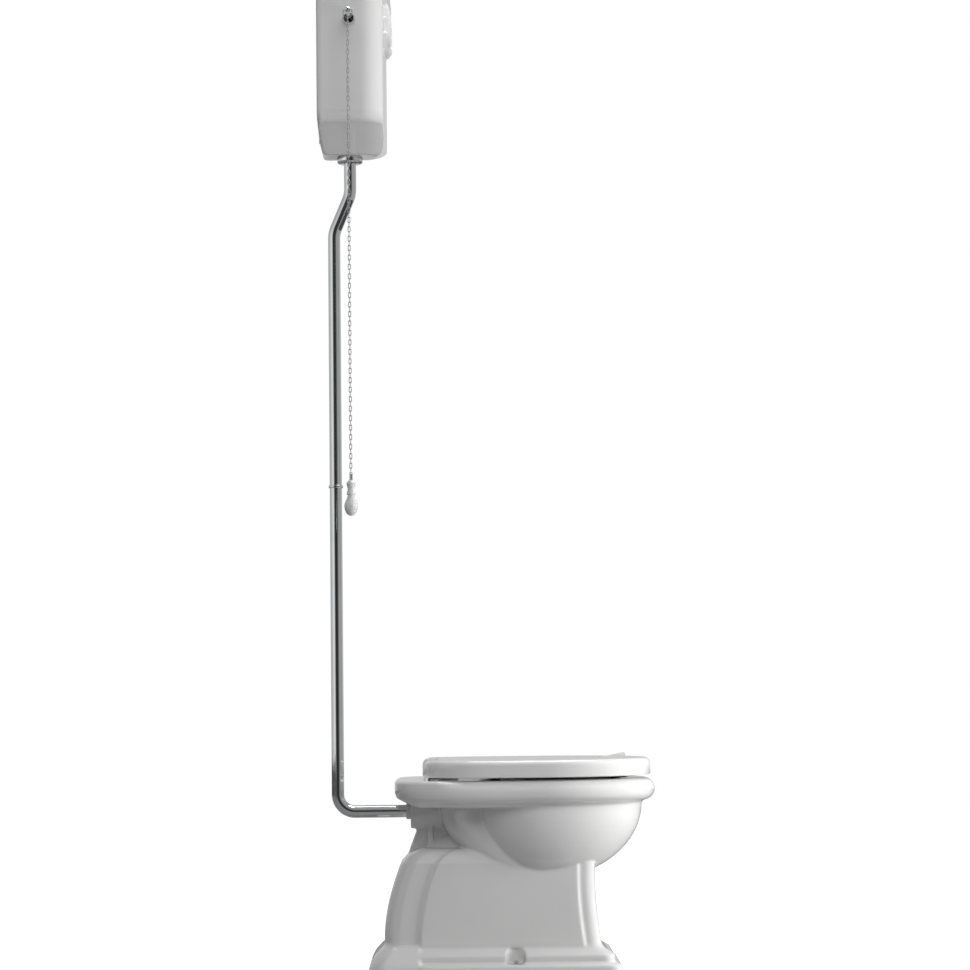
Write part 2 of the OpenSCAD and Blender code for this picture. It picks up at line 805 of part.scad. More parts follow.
// Line of the upper pipe from the joint up through the offset to the cistern.
function upper_line(extra) =
    let (foot = offset_z - bend_reach, head = offset_z + offset_h + bend_reach,
         steps = [0:bend_angle / 4:bend_angle])
    concat(
        [[run_x, 0, joint_z + touch - extra]],
        [for (a = steps) [run_x + offset_bend_r * (1 - cos(a)), 0, foot + offset_bend_r * sin(a)]],
        [for (a = steps) let (b = bend_angle - a)
            [outlet_x - offset_bend_r * (1 - cos(b)), 0, head - offset_bend_r * sin(b)]],
        [[outlet_x, 0, pipe_top_z + extra]]
    );

module flush_pipe_upper() {
    color(chrome) difference() {
        bent_rod(upper_line(0), pipe_r, 28);
        bent_rod(upper_line(overlap), pipe_r - pipe_wall, 28);
    }
}

module pipe_joint_sleeve() {
    inner_r = pipe_r - pipe_wall - 3 * touch;
    color(chrome) translate([run_x, 0, joint_z]) difference() {
        union() {
            translate([0, 0, -22]) cylinder(r = inner_r, h = 44);
            translate([0, 0, -3]) tube(pipe_r + 2.4, pipe_r + touch, 6);
            translate([0, 0, 0]) cylinder(r = pipe_r + 1, h = touch);
        }
        translate([0, 0, -23]) cylinder(r = inner_r - 1, h = 46);
    }
}

module inlet_cone() {
    color(plastic) along_x(boss_back - 9, 0, inlet_z) difference() {
        union() {
            cylinder(r = pipe_r + 4, h = 9);
            translate([0, 0, 9]) cylinder(r = inlet_bore_r - touch, h = 34);
        }
        translate([0, 0, -overlap]) cylinder(r = pipe_r + touch, h = 60);
    }
}

tail_r = valve_tail_d / 2;
module outlet_nut() {
    color(chrome) translate([outlet_x, 0, well_z - nut_h - touch]) difference() {
        union() {
            translate([0, 0, 4]) cylinder(r = tail_r + 6, h = nut_h - 4);
            cylinder(r1 = tail_r + 3, r2 = tail_r + 6, h = 4);
        }
        translate([0, 0, 3]) cylinder(r = tail_r + touch, h = nut_h);
        translate([0, 0, -overlap]) cylinder(r = pipe_r + touch, h = nut_h);
    }
}

module pipe_olive() {
    color(rubber) translate([outlet_x, 0, well_z - nut_h + 3])
        tube(tail_r - 1, pipe_r + touch, 2.4);
}

// ---------- cistern ----------

cistern_back = wall_x + wall_gap;
cistern_front = cistern_back + cistern_d;
cistern_half = cistern_w / 2;
well_floor = well_z + cistern_wall + 3;
well_half = 34;
floor_half = 35;
cistern_top = cistern_z + cistern_h;
rim_flare = 6;
flare_z = cistern_top - 52;
back_corner = 8;

// Upright-cornered outline, rounder in front than behind.
function cistern_outline(grow, h, r_front, r_back, back_share) =
    let (
        f = cistern_front + grow, b = cistern_back - back_share * min(0, grow),
        side = concat(
            [for (a = [0:15:90]) [f - r_front + r_front * cos(a), h - r_front + r_front * sin(a)]],
            [for (a = [90:30:180]) [b + r_back + r_back * cos(a), h - r_back + r_back * sin(a)]]
        ),
        n = len(side)
    )
    concat(side, [for (i = [n - 1:-1:0]) [side[i][0], -side[i][1]]]);
function cistern_ring(z, grow, r_front, r_back, back_share = 1) =
    at_height(cistern_outline(grow, cistern_half + grow, r_front, r_back, back_share), z);
// One ring of the bottom, between the outlet's flat and the ends, up from the lowest point.
function well_ring(up, inset, flat_half, end_half, base, back_share) =
    let (h = flat_half + (end_half - flat_half) * up / well_drop)
    at_height(cistern_outline(-inset, h, min(cistern_corner - inset, h - 6), back_corner,
                              back_share), base + up);

module cistern_outside() {
    end_half = cistern_half - cistern_edge;
    loft(concat(
        [for (k = [[0, 22], [2, 14], [6, 7], [12, 3], [22, 0]])
            well_ring(k[0], k[1], well_half, end_half, well_z, 0.4)],
        [for (a = [0:18:90])
            let (h = end_half + cistern_edge * sin(a), z = cistern_z + cistern_edge * (1 - cos(a)))
            at_height(cistern_outline(0, h, cistern_corner, back_corner, 1), z)],
        [cistern_ring(flare_z, 0, cistern_corner, back_corner)],
        [for (k = [0.25, 0.5, 0.75, 1])
            cistern_ring(flare_z + k * (cistern_top - flare_z),
                         rim_flare * (1 - cos(180 * k)) / 2, cistern_corner, back_corner)]
    ));
}

module cistern_inside() {
    w = cistern_wall;
    low_half = cistern_half - w - 14;
    loft([
        well_ring(0, w + 14, floor_half, low_half, well_floor, 1),
        well_ring(5, w + 4, floor_half, low_half, well_floor, 1),
        well_ring(16, w, floor_half, low_half, well_floor, 1),
        well_ring(well_drop, w, floor_half, low_half, well_floor, 1),
        at_height(cistern_outline(-w, cistern_half - w - 3, cistern_corner - w, back_corner, 1),
                  well_floor + well_drop + 8),
        cistern_ring(well_floor + well_drop + 18, -w, cistern_corner - w, back_corner),
        cistern_ring(cistern_top + overlap, -w, cistern_corner - w, back_corner)
    ]);
}

// Shell ornament in relief on the front: plain ribs that fan out from a rounded base.
ornament_z = cistern_z + 190;
rib_l = 98;
rib_half_w = 13;
rib_h = 15.5;
module rib(length, half_w, height) {
    loft([for (k = [0:8])
        let (t = k / 8, w = sin(20 + 145 * t), h = sqrt(sin(14 + 152 * t)))
        [for (a = [0:45:315]) [height * h * cos(a), half_w * w * sin(a), length * t]]]);
}

module ornament() {
    translate([cistern_front, 0, ornament_z]) {
        for (a = [-75:25:75]) rotate([a, 0, 0]) translate([0, 0, 8])
            rib(rib_l - abs(a) / 4, rib_half_w, rib_h);
        translate([0, -45, 0]) rotate([-90, 0, 0]) rib(90, rib_half_w, rib_h - 2);
    }
}

lever_x = cistern_back + cistern_d / 2;
lever_z = cistern_z + lever_up;
lever_bore_r = 9;
bush_r = 11;
inlet_valve_z = lever_z + 37;
wall_hole_z = cistern_top - 50;

module cistern_body() {
    color(china) difference() {
        // The body is set to its exact width across the flared top.
        resize([0, cistern_w + 2 * rim_flare, 0]) difference() {
            union() {
                cistern_outside();
                ornament();
            }
            cistern_inside();
        }
        translate([outlet_x, 0, well_z - overlap])
            cylinder(r = tail_r + 0.5, h = well_floor - well_z + 2 * overlap);
        along_y(lever_x, -cistern_half - 10, lever_z)
            cylinder(r = bush_r + 0.5, h = cistern_wall + 20);
        along_y(lever_x, cistern_half - cistern_wall - 10, inlet_valve_z)
            cylinder(r = thread_r + 0.5, h = cistern_wall + 20);
        both_sides(wall_hole_pitch / 2)
            along_x(cistern_back - 10, 0, wall_hole_z) cylinder(d = wall_hole_d, h = cistern_wall + 20);
    }
}

module cistern_lid() {
    grow = rim_flare + 5;
    color(china) {
        loft([
            cistern_ring(cistern_top + touch, grow - 2, cistern_corner, back_corner),
            cistern_ring(cistern_top + 3, grow, cistern_corner, back_corner),
            cistern_ring(cistern_top + lid_slab - 12, grow, cistern_corner, back_corner),
            cistern_ring(cistern_top + lid_slab - 6, grow - 2, cistern_corner, back_corner),
            cistern_ring(cistern_top + lid_slab - 2, grow - 6, cistern_corner, back_corner),
            cistern_ring(cistern_top + lid_slab, grow - 11, cistern_corner - 4, back_corner)
        ]);
        rib_in = -cistern_wall - 1.5;
        difference() {
            loft([
                cistern_ring(cistern_top - 8, rib_in, cistern_corner - 9, back_corner),
                cistern_ring(cistern_top + 1, rib_in, cistern_corner - 9, back_corner)
            ]);
            loft([
                cistern_ring(cistern_top - 9, rib_in - 8, cistern_corner - 16, back_corner),
                cistern_ring(cistern_top, rib_in - 8, cistern_corner - 16, back_corner)
            ]);
        }
    }
}

buffer_r = 9;
module wall_buffer() {
    color(rubber) along_x(wall_x, 0, cistern_z + 3) cylinder(r = buffer_r, h = wall_gap);
}

// ---------- lever and chain ----------

pivot_y = -cistern_half;
tip_y = pivot_y - lever_out;
boss_out = 10;
lever_r = lever_d / 2;
spindle_r = 1.5;
wire_y = -2;
slot_l = 14;
slot_y = wire_y + 3;

module lever_escutcheon() {
    length = boss_out + cistern_wall + 10;
    color(chrome) difference() {
        union() {
            along_y(lever_x, pivot_y - boss_out, lever_z)
                cylinder(r1 = escutcheon_d / 2 - 3, r2 = escutcheon_d / 2, h = boss_out - 3);
            along_y(lever_x, pivot_y - 3, lever_z) cylinder(d = escutcheon_d, h = 3 - touch);
            along_y(lever_x, pivot_y - 3, lever_z) cylinder(r = bush_r, h = length - boss_out + 3);
        }
        along_y(lever_x, pivot_y - boss_out - overlap, lever_z)
            cylinder(r = lever_bore_r, h = length + 2 * overlap);
        along_x(lever_x - 20, pivot_y, lever_z) cylinder(r = spindle_r, h = 40);
    }
}

module lever_back_nut() {
    color(brass) along_y(lever_x, pivot_y + cistern_wall + 1, lever_z)
        tube(escutcheon_d / 2 + 1, bush_r + touch, 6);
}

module lever_spindle() {
    color(brass) along_x(lever_x - bush_r + 0.5, pivot_y, lever_z)
        cylinder(r = spindle_r, h = 2 * bush_r - 1);
}

module flush_lever() {
    inner_end = slot_y + slot_l / 2 + 6;
    color(chrome) difference() {
        union() {
            along_y(lever_x, tip_y + 3, lever_z) cylinder(r = lever_r, h = wire_y - 19 - tip_y);
            translate([lever_x, tip_y, lever_z]) rotate([0, 0, 45]) sphere(r = lever_r + 2.5);
            translate([lever_x - 7, wire_y - 18, lever_z - 2.5])
                cube([14, inner_end - wire_y + 18, 5]);
        }
        along_x(lever_x - 10, pivot_y, lever_z) cylinder(r = spindle_r + fit, h = 20);
        along_x(lever_x - 10, tip_y, lever_z) cylinder(r = hook_wire + fit, h = 20);
        translate([lever_x - 2.5, slot_y - slot_l / 2, lever_z - 10])
            cube([5, slot_l, 20]);
    }
}

// The hook: a pin through the lever's ball and a bow that hangs from it.
hook_wire = 1.1;
bow_r = 9;
bow_drop = 8;
module chain_hook() {
    color(chrome) {
        along_x(lever_x - bow_r, tip_y, lever_z) cylinder(r = hook_wire, h = 2 * bow_r);
        for (side = [-1, 1]) translate([lever_x + side * bow_r, tip_y, lever_z]) {
            sphere(r = hook_wire + 0.4);
            mirror([0, 0, 1]) cylinder(r = hook_wire, h = bow_drop);
        }
        translate([lever_x, tip_y, lever_z - bow_drop]) rotate([-90, 0, 0])
            rotate_extrude(angle = 180) translate([bow_r, 0]) circle(r = hook_wire);
    }
}

link_w = 6;
link_play = 0.7;
link_l = chain_pitch + link_play + 2 * chain_wire;
chain_top = lever_z - bow_drop - bow_r + hook_wire + link_play + chain_wire;

module oblong(width, length) {
    r = width / 2;
    translate([0, -r]) circle(r = r, $fn = 24);
    translate([0, r - length]) circle(r = r, $fn = 24);
    translate([-r, r - length]) square([width, length - width]);
}

// One oblong link with its top at the origin, in the YZ plane.
module link() {
    rotate([90, 0, 90]) linear_extrude(chain_wire, center = true) difference() {
        oblong(link_w, link_l);
        translate([0, -chain_wire]) oblong(link_w - 2 * chain_wire, link_l - 2 * chain_wire);
    }
}

module pull_chain() {
    color(chrome) for (k = [0:chain_links - 1])
        translate([lever_x, tip_y, chain_top - k * chain_pitch]) rotate([0, 0, 90 * (k % 2)]) link();
}

// The last link hangs across the ferrule's loop.
chain_bottom = chain_top - (chain_links - 1) * chain_pitch - link_l;
loop_r = 2.6;
loop_wire = 0.7;
ferrule_r = 3.6;
ferrule_h = 13;
ferrule_top = chain_bottom - 0.6;
handle_top = ferrule_top - ferrule_h;
stem_r = 1.8;
stem_l = 20;

module handle_ferrule() {
    color(chrome) translate([lever_x, tip_y, 0]) {
        translate([0, 0, handle_top]) cylinder(r = ferrule_r, h = ferrule_h);
        translate([0, 0, handle_top - stem_l]) cylinder(r = stem_r, h = stem_l + overlap);
        rotate([0, 0, 90 * ((chain_links - 1) % 2)]) translate([0, 0, chain_bottom + 0.3]) {
            for (side = [-1, 1]) translate([side * loop_r, 0, -2])
                cylinder(r = loop_wire, h = 2);
            rotate([90, 0, 0]) rotate_extrude(angle = 180) translate([loop_r, 0])
                circle(r = loop_wire);
        }
    }
}

// Turned china handle: a small bulb above, a waist and a larger bulb below.
function handle_radius(t) =
    let (r = handle_d / 2)
    t < 0.08 ? r * (0.36 + 0.30 * sin(90 * t / 0.08))
    : t < 0.40 ? r * (0.585 + 0.075 * cos(180 * (t - 0.08) / 0.16))
    : t < 0.72 ? r * (0.755 - 0.245 * cos(180 * (t - 0.40) / 0.32))
    : r * sqrt(max(0, 1 - pow((t - 0.72) / 0.28, 2)));

module pull_handle() {
    steps = 26;
    color(china) translate([lever_x, tip_y, handle_top - touch]) mirror([0, 0, 1])
        difference() {
            rotate_extrude() polygon(concat(
                [[0, 0]],
                [for (k = [0:steps - 1]) [handle_radius(k / steps), handle_l * k / steps]],
                [[0, handle_l]]
            ));
            translate([0, 0, -overlap]) cylinder(r = stem_r + touch, h = stem_l + 2 * overlap);
        }
}

// ---------- flush valve ----------

washer_h = 2;
base_flange_z = well_floor + washer_h;
base_top = base_flange_z + 6;
valve_bore_r = tail_r - 5;
overflow_r = overflow_d / 2;
overflow_top = cistern_z + overflow_up;
cage_r = tail_r + 8;
cage_h = 62;

module valve_base() {
    color(plastic) translate([outlet_x, 0, 0]) difference() {
        union() {
            translate([0, 0, well_z - nut_h + 6]) cylinder(r = tail_r, h = base_top - well_z + nut_h - 6);
            translate([0, 0, base_flange_z]) cylinder(r = tail_r + 11, h = base_top - base_flange_z);
        }
        translate([0, 0, well_z - nut_h]) cylinder(r = valve_bore_r, h = 80);
    }
}

module valve_base_washer() {
    color(rubber) translate([outlet_x, 0, well_floor])
        tube(tail_r + 11, tail_r + 0.2, washer_h);
}

module valve_cage() {
    guide_z = base_top + cage_h;
    color(plastic) translate([outlet_x, 0, 0]) difference() {
        union() {
            translate([0, 0, base_top]) tube(cage_r, cage_r - 3, 5);
            translate([0, 0, guide_z]) cylinder(r = cage_r, h = 4);
            for (a = [45:90:315]) rotate([0, 0, a])
                translate([cage_r - 3, -3, base_top]) cube([3, 6, cage_h + 2]);
        }
        translate([0, 0, guide_z - overlap]) cylinder(r = overflow_r + 0.4, h = 10);
    }
}

seal_t = 3;
disc_z = base_top + seal_t;
module flush_valve() {
    bore = overflow_r - 2;
    color(plastic) translate([outlet_x, 0, 0]) difference() {
        union() {
            translate([0, 0, disc_z]) cylinder(r = tail_r + 2, h = 5);
            translate([0, 0, disc_z]) cylinder(r = overflow_r, h = overflow_top - disc_z);
        }
        translate([0, 0, disc_z - overlap]) cylinder(r = bore, h = overflow_top - disc_z - 8);
        translate([0, 0, overflow_top - 20]) rotate([90, 0, 0])
            translate([0, 0, -20]) cylinder(r = 5, h = 40);
        translate([0, wire_y, overflow_top - wire_foot_in - touch])
            cylinder(r = wire_foot_r + touch, h = wire_foot_in + overlap);
    }
}

module valve_seal() {
    color(rubber) translate([outlet_x, 0, base_top + touch])
        tube(tail_r + 1, overflow_r - 2, seal_t - touch);
}

wire_foot_r = 3;
wire_foot_in = 4;
module lift_wire() {
    head_z = lever_z + 5.5;
    shift_x = lever_x - outlet_x;
    color(brass) {
        translate([lever_x, wire_y, overflow_top + 8]) cylinder(r = 1.5, h = head_z - overflow_top - 8);
        translate([lever_x, wire_y, head_z]) cylinder(r = 4.5, h = 3);
        along_x(outlet_x - 3, wire_y, overflow_top + 8) cylinder(r = 1.5, h = shift_x + 3);
        translate([outlet_x, wire_y, overflow_top - wire_foot_in]) cylinder(r = wire_foot_r, h = 13);
    }
}

// ---------- filling valve ----------

valve_body_r = 12;
thread_r = inlet_tail_d / 2 + 0.4;
nut_face = cistern_half + 0.3;
inlet_nut_h = 8;
inner_face = cistern_half - cistern_wall;
valve_in = 34;
pivot_float_y = inner_face - valve_in - 12;
float_hinge_drop = 14;
pivot_float_z = inlet_valve_z - float_hinge_drop;
piston_r = 5;
float_arm_r = 2.5;
float_reach = 100;
float_socket = 8;
float_drop = 74;
arm_end = [
    pivot_float_y - float_reach * cos(float_drop), pivot_float_z - float_reach * sin(float_drop)
];

module inlet_valve() {
    color(brass) difference() {
        union() {
            along_y(lever_x, inner_face - 3, inlet_valve_z)
                cylinder(r = thread_r, h = nut_face + inlet_nut_h - inner_face + 3.5);
            along_y(lever_x, inner_face, inlet_valve_z)
                cylinder(d = inlet_tail_d, h = cistern_wall + inlet_tail_l);
            along_y(lever_x, inner_face - 5, inlet_valve_z) cylinder(r = 16, h = 3);
            along_y(lever_x, inner_face - valve_in, inlet_valve_z)
                cylinder(r = valve_body_r, h = valve_in - 2);
            for (side = [-1, 1])
                translate([lever_x + side * 8 - 1.5, pivot_float_y - 4, pivot_float_z - 5])
                    cube([3, inner_face - valve_in + 12 - pivot_float_y, float_hinge_drop + 1]);
        }
        along_y(lever_x, inner_face - valve_in - overlap, inlet_valve_z)
            cylinder(r = piston_r + 0.05, h = 24);
        along_y(lever_x, inner_face - valve_in + 20, inlet_valve_z) cylinder(r = 3, h = 20);
        along_y(lever_x, inner_face - 3, inlet_valve_z) cylinder(r = 7, h = 60);
        along_x(lever_x - 20, pivot_float_y, pivot_float_z) cylinder(r = 1.5, h = 40);
    }
}

module inlet_valve_washer() {
    color(rubber) along_y(lever_x, inner_face - 2, inlet_valve_z)
        tube(15, thread_r + touch, 2 - touch);
}

module inlet_valve_nut() {
    color(brass) along_y(lever_x, nut_face, inlet_valve_z) difference() {
        cylinder(r = 17, h = inlet_nut_h, $fn = 6);
        translate([0, 0, -overlap]) cylinder(r = thread_r + touch, h = inlet_nut_h + 2 * overlap);
    }
}

piston_l = 22;
piston_gap = 0.4;
module inlet_piston() {
    color(plastic) along_y(lever_x, pivot_float_y + piston_gap, inlet_valve_z)
        cylinder(r = piston_r, h = piston_l);
}

module float_pin() {
    color(brass) along_x(lever_x - 11, pivot_float_y, pivot_float_z) cylinder(r = 1.5, h = 22);
}

module float_arm() {
    drop = float_drop;
    color(brass) translate([lever_x, pivot_float_y, pivot_float_z]) difference() {
        union() {
            along_x(-5, 0, 0) cylinder(r = 5, h = 10);
            rotate([90 + drop, 0, 0])
                cylinder(r = float_arm_r, h = float_reach - float_d / 2 + float_socket - touch);
            translate([-3, -4, 0]) cube([6, 4, 18]);
        }
        along_x(-10, 0, 0) cylinder(r = 1.6, h = 20);
    }
}

module float_ball() {
    color(plastic) translate([lever_x, arm_end[0], arm_end[1]]) difference() {
        sphere(d = float_d);
        rotate([90 + float_drop, 0, 0]) translate([0, 0, -float_d / 2 - overlap])
            cylinder(r = float_arm_r + touch, h = float_socket + overlap);
    }
}

pan_foot();
pan_bowl();
pan_rim();
floor_screws();
floor_screw_caps();
floor_screw_bushes();
seat_ring();
seat_lid();
seat_buffers();
lid_buffers();
hinge_pillars();
hinge_pin();
seat_hinge_arms();
lid_hinge_arms();
hinge_washers();
hinge_wing_nuts();
inlet_cone();
flush_pipe_lower();
flush_pipe_upper();
pipe_joint_sleeve();
outlet_nut();
pipe_olive();
cistern_body();
cistern_lid();
wall_buffer();
lever_escutcheon();
lever_back_nut();
lever_spindle();
flush_lever();
chain_hook();
pull_chain();
handle_ferrule();
pull_handle();
valve_base();
valve_base_washer();
valve_cage();
flush_valve();
valve_seal();
lift_wire();
inlet_valve();
inlet_valve_washer();
inlet_valve_nut();
inlet_piston();
float_arm();
float_ball();
float_pin();
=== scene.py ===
"""High tank toilet with a pull chain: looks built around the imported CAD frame.

Sizes and places are millimetres in the CAD frame (+X front, +Y the sitter's left, +Z up,
origin at the floor waste outlet). Meshes are scaled to metres as they are made.
"""

import json
import math

import bpy
import numpy as np
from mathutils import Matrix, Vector

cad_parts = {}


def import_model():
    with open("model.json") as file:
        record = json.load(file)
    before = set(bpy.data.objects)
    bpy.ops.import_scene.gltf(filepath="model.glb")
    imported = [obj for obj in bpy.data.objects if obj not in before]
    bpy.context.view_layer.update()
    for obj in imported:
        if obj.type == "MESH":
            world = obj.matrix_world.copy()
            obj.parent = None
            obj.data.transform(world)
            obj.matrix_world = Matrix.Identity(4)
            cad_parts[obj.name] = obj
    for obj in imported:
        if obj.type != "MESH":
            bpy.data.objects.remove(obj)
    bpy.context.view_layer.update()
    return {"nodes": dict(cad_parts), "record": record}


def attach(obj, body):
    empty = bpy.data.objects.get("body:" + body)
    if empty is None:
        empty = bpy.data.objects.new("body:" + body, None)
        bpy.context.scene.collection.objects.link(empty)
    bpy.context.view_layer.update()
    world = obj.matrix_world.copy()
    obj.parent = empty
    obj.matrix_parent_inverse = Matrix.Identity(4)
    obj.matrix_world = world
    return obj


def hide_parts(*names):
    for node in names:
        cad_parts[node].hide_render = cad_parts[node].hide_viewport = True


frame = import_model()
scene = bpy.context.scene
MM = 0.001

# ---------- the object's driving sizes, as in the part's source ----------

WALL_X = -208
RIM_Z, RIM_FRONT, SHELF_BACK, RIM_HALF, RIM_MID = 415, 485, 58, 187, 250
RIM_ROLL_R, RIM_OVERHANG = 23.5, 28
SHELF_FRONT, SHELF_BLEND, SHELF_LOW = 22, 68, RIM_Z - 37
BOWL_DEPTH, BOWL_BACK, BOWL_FULLNESS = 157, 100, 0.8
BOWL_SQUARENESS, RIM_SQUARENESS = 2.2, 5
CHINA = 12
PEDESTAL_HALF, PEDESTAL_FRONT, PEDESTAL_BACK = 93, 354, 81
PEDESTAL_FRONT_R, PEDESTAL_BACK_R = 24, 34
SHOULDER_Z, SHOULDER_R, SHOULDER_STEP = 273, 28, 3
PLINTH_OUT, PLINTH_TOP, SIDE_SPREAD = 38, 80, 0.35
PANEL_RAISE, PANEL_EDGE, FRONT_BAND_W, BAND_W = 5, 6, 32, 70
OUTLET_BORE_R, OUTLET_H, TRAP_R = 42, 70, 38
INLET_Z, INLET_BOSS_R, BOSS_BACK, FEED_R = 348, 29, -26, 15
INLET_BORE_R, INLET_BORE_L = 20, 50
LEDGE_Z, NOTCH_R, NOTCH_H = 41, 19.5, 31
FLOOR_HOLE_X, FLOOR_HOLE_Y, FLOOR_HOLE_R = 187, 115, 4.6
HINGE_X, HINGE_HALF, STUD_HOLE_R, LID_KNUCKLE = 14, 78, 4.5, 46
LID_TOP, LID_FRONT, LID_HALF, LID_MID, LID_BOTTOM = 456, 476, 185, 250, 421
SEAT_BOTTOM, SEAT_T, SEAT_INSET, SEAT_HOLE_HALF = 420, 20, 8, 115
PIPE_R, PIPE_WALL, ELBOW_R, OFFSET_BEND_R = 13, 1.2, 36, 60
RUN_X, OUTLET_X = WALL_X + 30, WALL_X + 65
JOINT_Z, OFFSET_Z, OFFSET_H = 1030, 1571, 83
CISTERN_Z, CISTERN_H, CISTERN_HALF = 1771, 312, 200
WELL_DROP, WELL_HALF, FLOOR_HALF = 36, 34, 35
WELL_Z = CISTERN_Z - WELL_DROP
PIPE_END_X, PIPE_TOP_Z = BOSS_BACK + INLET_BORE_L - 6, WELL_Z - 6
NUT_R, NUT_H, NUT_THREAD_R, TAIL_HOLE_R = 27, 14, 21.05, 21.5
CISTERN_BACK = WALL_X + 4
CISTERN_FRONT = CISTERN_BACK + 137
CISTERN_TOP = CISTERN_Z + CISTERN_H
LEVER_X, LEVER_Z, LEVER_HOLE_R = CISTERN_BACK + 68.5, CISTERN_Z + 212, 11.5
WATER_Z, WATER_HOLE_R = LEVER_Z + 37, 10.98
WALL_HOLE_Y, WALL_HOLE_Z, WALL_HOLE_R = 125, CISTERN_TOP - 50, 4.5
PIVOT_Y = -CISTERN_HALF
TIP_Y = PIVOT_Y - 76
CHAIN_WIRE, CHAIN_PITCH, CHAIN_LINKS = 1.6, 9.6, 97
LINK_W, LINK_L, LINK_PLAY = 6, 13.5, 0.7
BOW_DROP, BOW_R, HOOK_WIRE = 8, 9, 1.1
FERRULE_H, FERRULE_GAP, HANDLE_L, HANDLE_R = 13, 0.6, 71, 13.8
STEM_L, STEM_HOLE_R = 20, 1.9
# How far a cutting tool runs past a face, and the gap that keeps two faces apart.
OVERLAP, TOUCH = 1, 0.05


# ---------- mesh tools ----------

def make(name, points, faces, smooth_angle=40):
    """A mesh object from points in millimetres, with smooth faces and crisp sharp edges."""
    mesh = bpy.data.meshes.new(name)
    mesh.from_pydata((np.asarray(points, float) * MM).tolist(), [], faces)
    mesh.validate()
    obj = bpy.data.objects.new(name, mesh)
    scene.collection.objects.link(obj)
    shade(obj, smooth_angle)
    return obj


def shade(obj, angle=40):
    mesh = obj.data
    mesh.polygons.foreach_set("use_smooth", [True] * len(mesh.polygons))
    mesh.set_sharp_from_angle(angle=math.radians(angle))
    mesh.update()


def bake(obj):
    """Applies the object's modifiers."""
    bpy.context.view_layer.update()
    graph = bpy.context.evaluated_depsgraph_get()
    mesh = bpy.data.meshes.new_from_object(obj.evaluated_get(graph))
    obj.modifiers.clear()
    obj.data = mesh


def combine(base, tools, operation):
    """Exact solid union or difference with each tool, which is used up."""
    for tool in tools:
        cut = base.modifiers.new(operation, "BOOLEAN")
        cut.operation, cut.solver, cut.object = operation, "MANIFOLD", tool
    bake(base)
    for tool in tools:
        bpy.data.objects.remove(tool)
    return base


def soften(obj, voxel, rounds):
    """Remeshes evenly and relaxes, which rounds every edge and fillets every joint."""
    remesh = obj.modifiers.new("remesh", "REMESH")
    remesh.mode, remesh.voxel_size = "VOXEL", voxel * MM
    relax = obj.modifiers.new("relax", "SMOOTH")
    relax.factor, relax.iterations = 0.5, rounds
    bake(obj)
    shade(obj)
    return obj


def grid_faces(rows, n, wrap=False):
    faces = []
    for k in range(rows if wrap else rows - 1):
        a, b = k * n, ((k + 1) % rows) * n
        faces += [(a + i, a + (i + 1) % n, b + (i + 1) % n, b + i) for i in range(n)]
    return faces


def loft(name, rings):
    """Closed solid through level rings, lowest first."""
    n = len(rings[0])
    top = (len(rings) - 1) * n
    faces = grid_faces(len(rings), n)
    faces += [tuple(range(n - 1, -1, -1)), tuple(range(top, top + n))]
    return make(name, np.concatenate(rings), faces)


def prism(name, outline, half):
    """Solid of an outline in the XZ plane, from y = -half to y = half."""
    n = len(outline)
    return make(name, [(x, y, z) for y in (-half, half) for x, z in outline],
                [(i, (i + 1) % n, n + (i + 1) % n, n + i) for i in range(n)]
                + [tuple(range(n))[::-1], tuple(range(n, 2 * n))])


def level(outline, z):
    return np.column_stack([outline, np.full(len(outline), float(z))])


def signed_power(v, p):
    return np.sign(v) * np.abs(v) ** p


def egg(front, back, half_w, mid, square, n=240):
    """Half ellipse in front, squarer half ellipse behind."""
    a = np.arange(n) * 2 * np.pi / n
    c, s = np.cos(a), np.sin(a)
    c[np.abs(c) < 1e-9] = 0
    p = np.where(c >= 0, 1, 2 / square)
    x = mid + np.where(c >= 0, front - mid, mid - back) * signed_power(c, p)
    return np.column_stack([x, half_w * signed_power(s, p)])


def outward(outline):
    ahead = np.roll(outline, -1, 0) - np.roll(outline, 1, 0)
    normal = np.column_stack([ahead[:, 1], -ahead[:, 0]])
    return normal / np.linalg.norm(normal, axis=1)[:, None]


def grow(outline, d):
    return outline + outward(outline) * np.reshape(d, (-1, 1))


def smooth_step(a, b, v):
    t = np.clip((v - a) / (b - a), 0, 1)
    return t * t * (3 - 2 * t)


def sweep(name, path, r, sides=48):
    """Round rod along a line of points."""
    path = np.asarray(path, float)
    ahead = np.gradient(path, axis=0)
    ahead /= np.linalg.norm(ahead, axis=1)[:, None]
    side = np.cross(ahead, [0, 1, 0])
    side /= np.linalg.norm(side, axis=1)[:, None]
    up = np.cross(side, ahead)
    a = np.arange(sides) * 2 * np.pi / sides
    rings = [p + r * (np.outer(np.cos(a), s) + np.outer(np.sin(a), u))
             for p, s, u in zip(path, side, up)]
    return loft(name, rings)


AXES = {
    "x": ((0, 1, 0), (0, 0, 1), (1, 0, 0)),
    "y": ((0, 0, 1), (1, 0, 0), (0, 1, 0)),
    "z": ((1, 0, 0), (0, 1, 0), (0, 0, 1)),
}


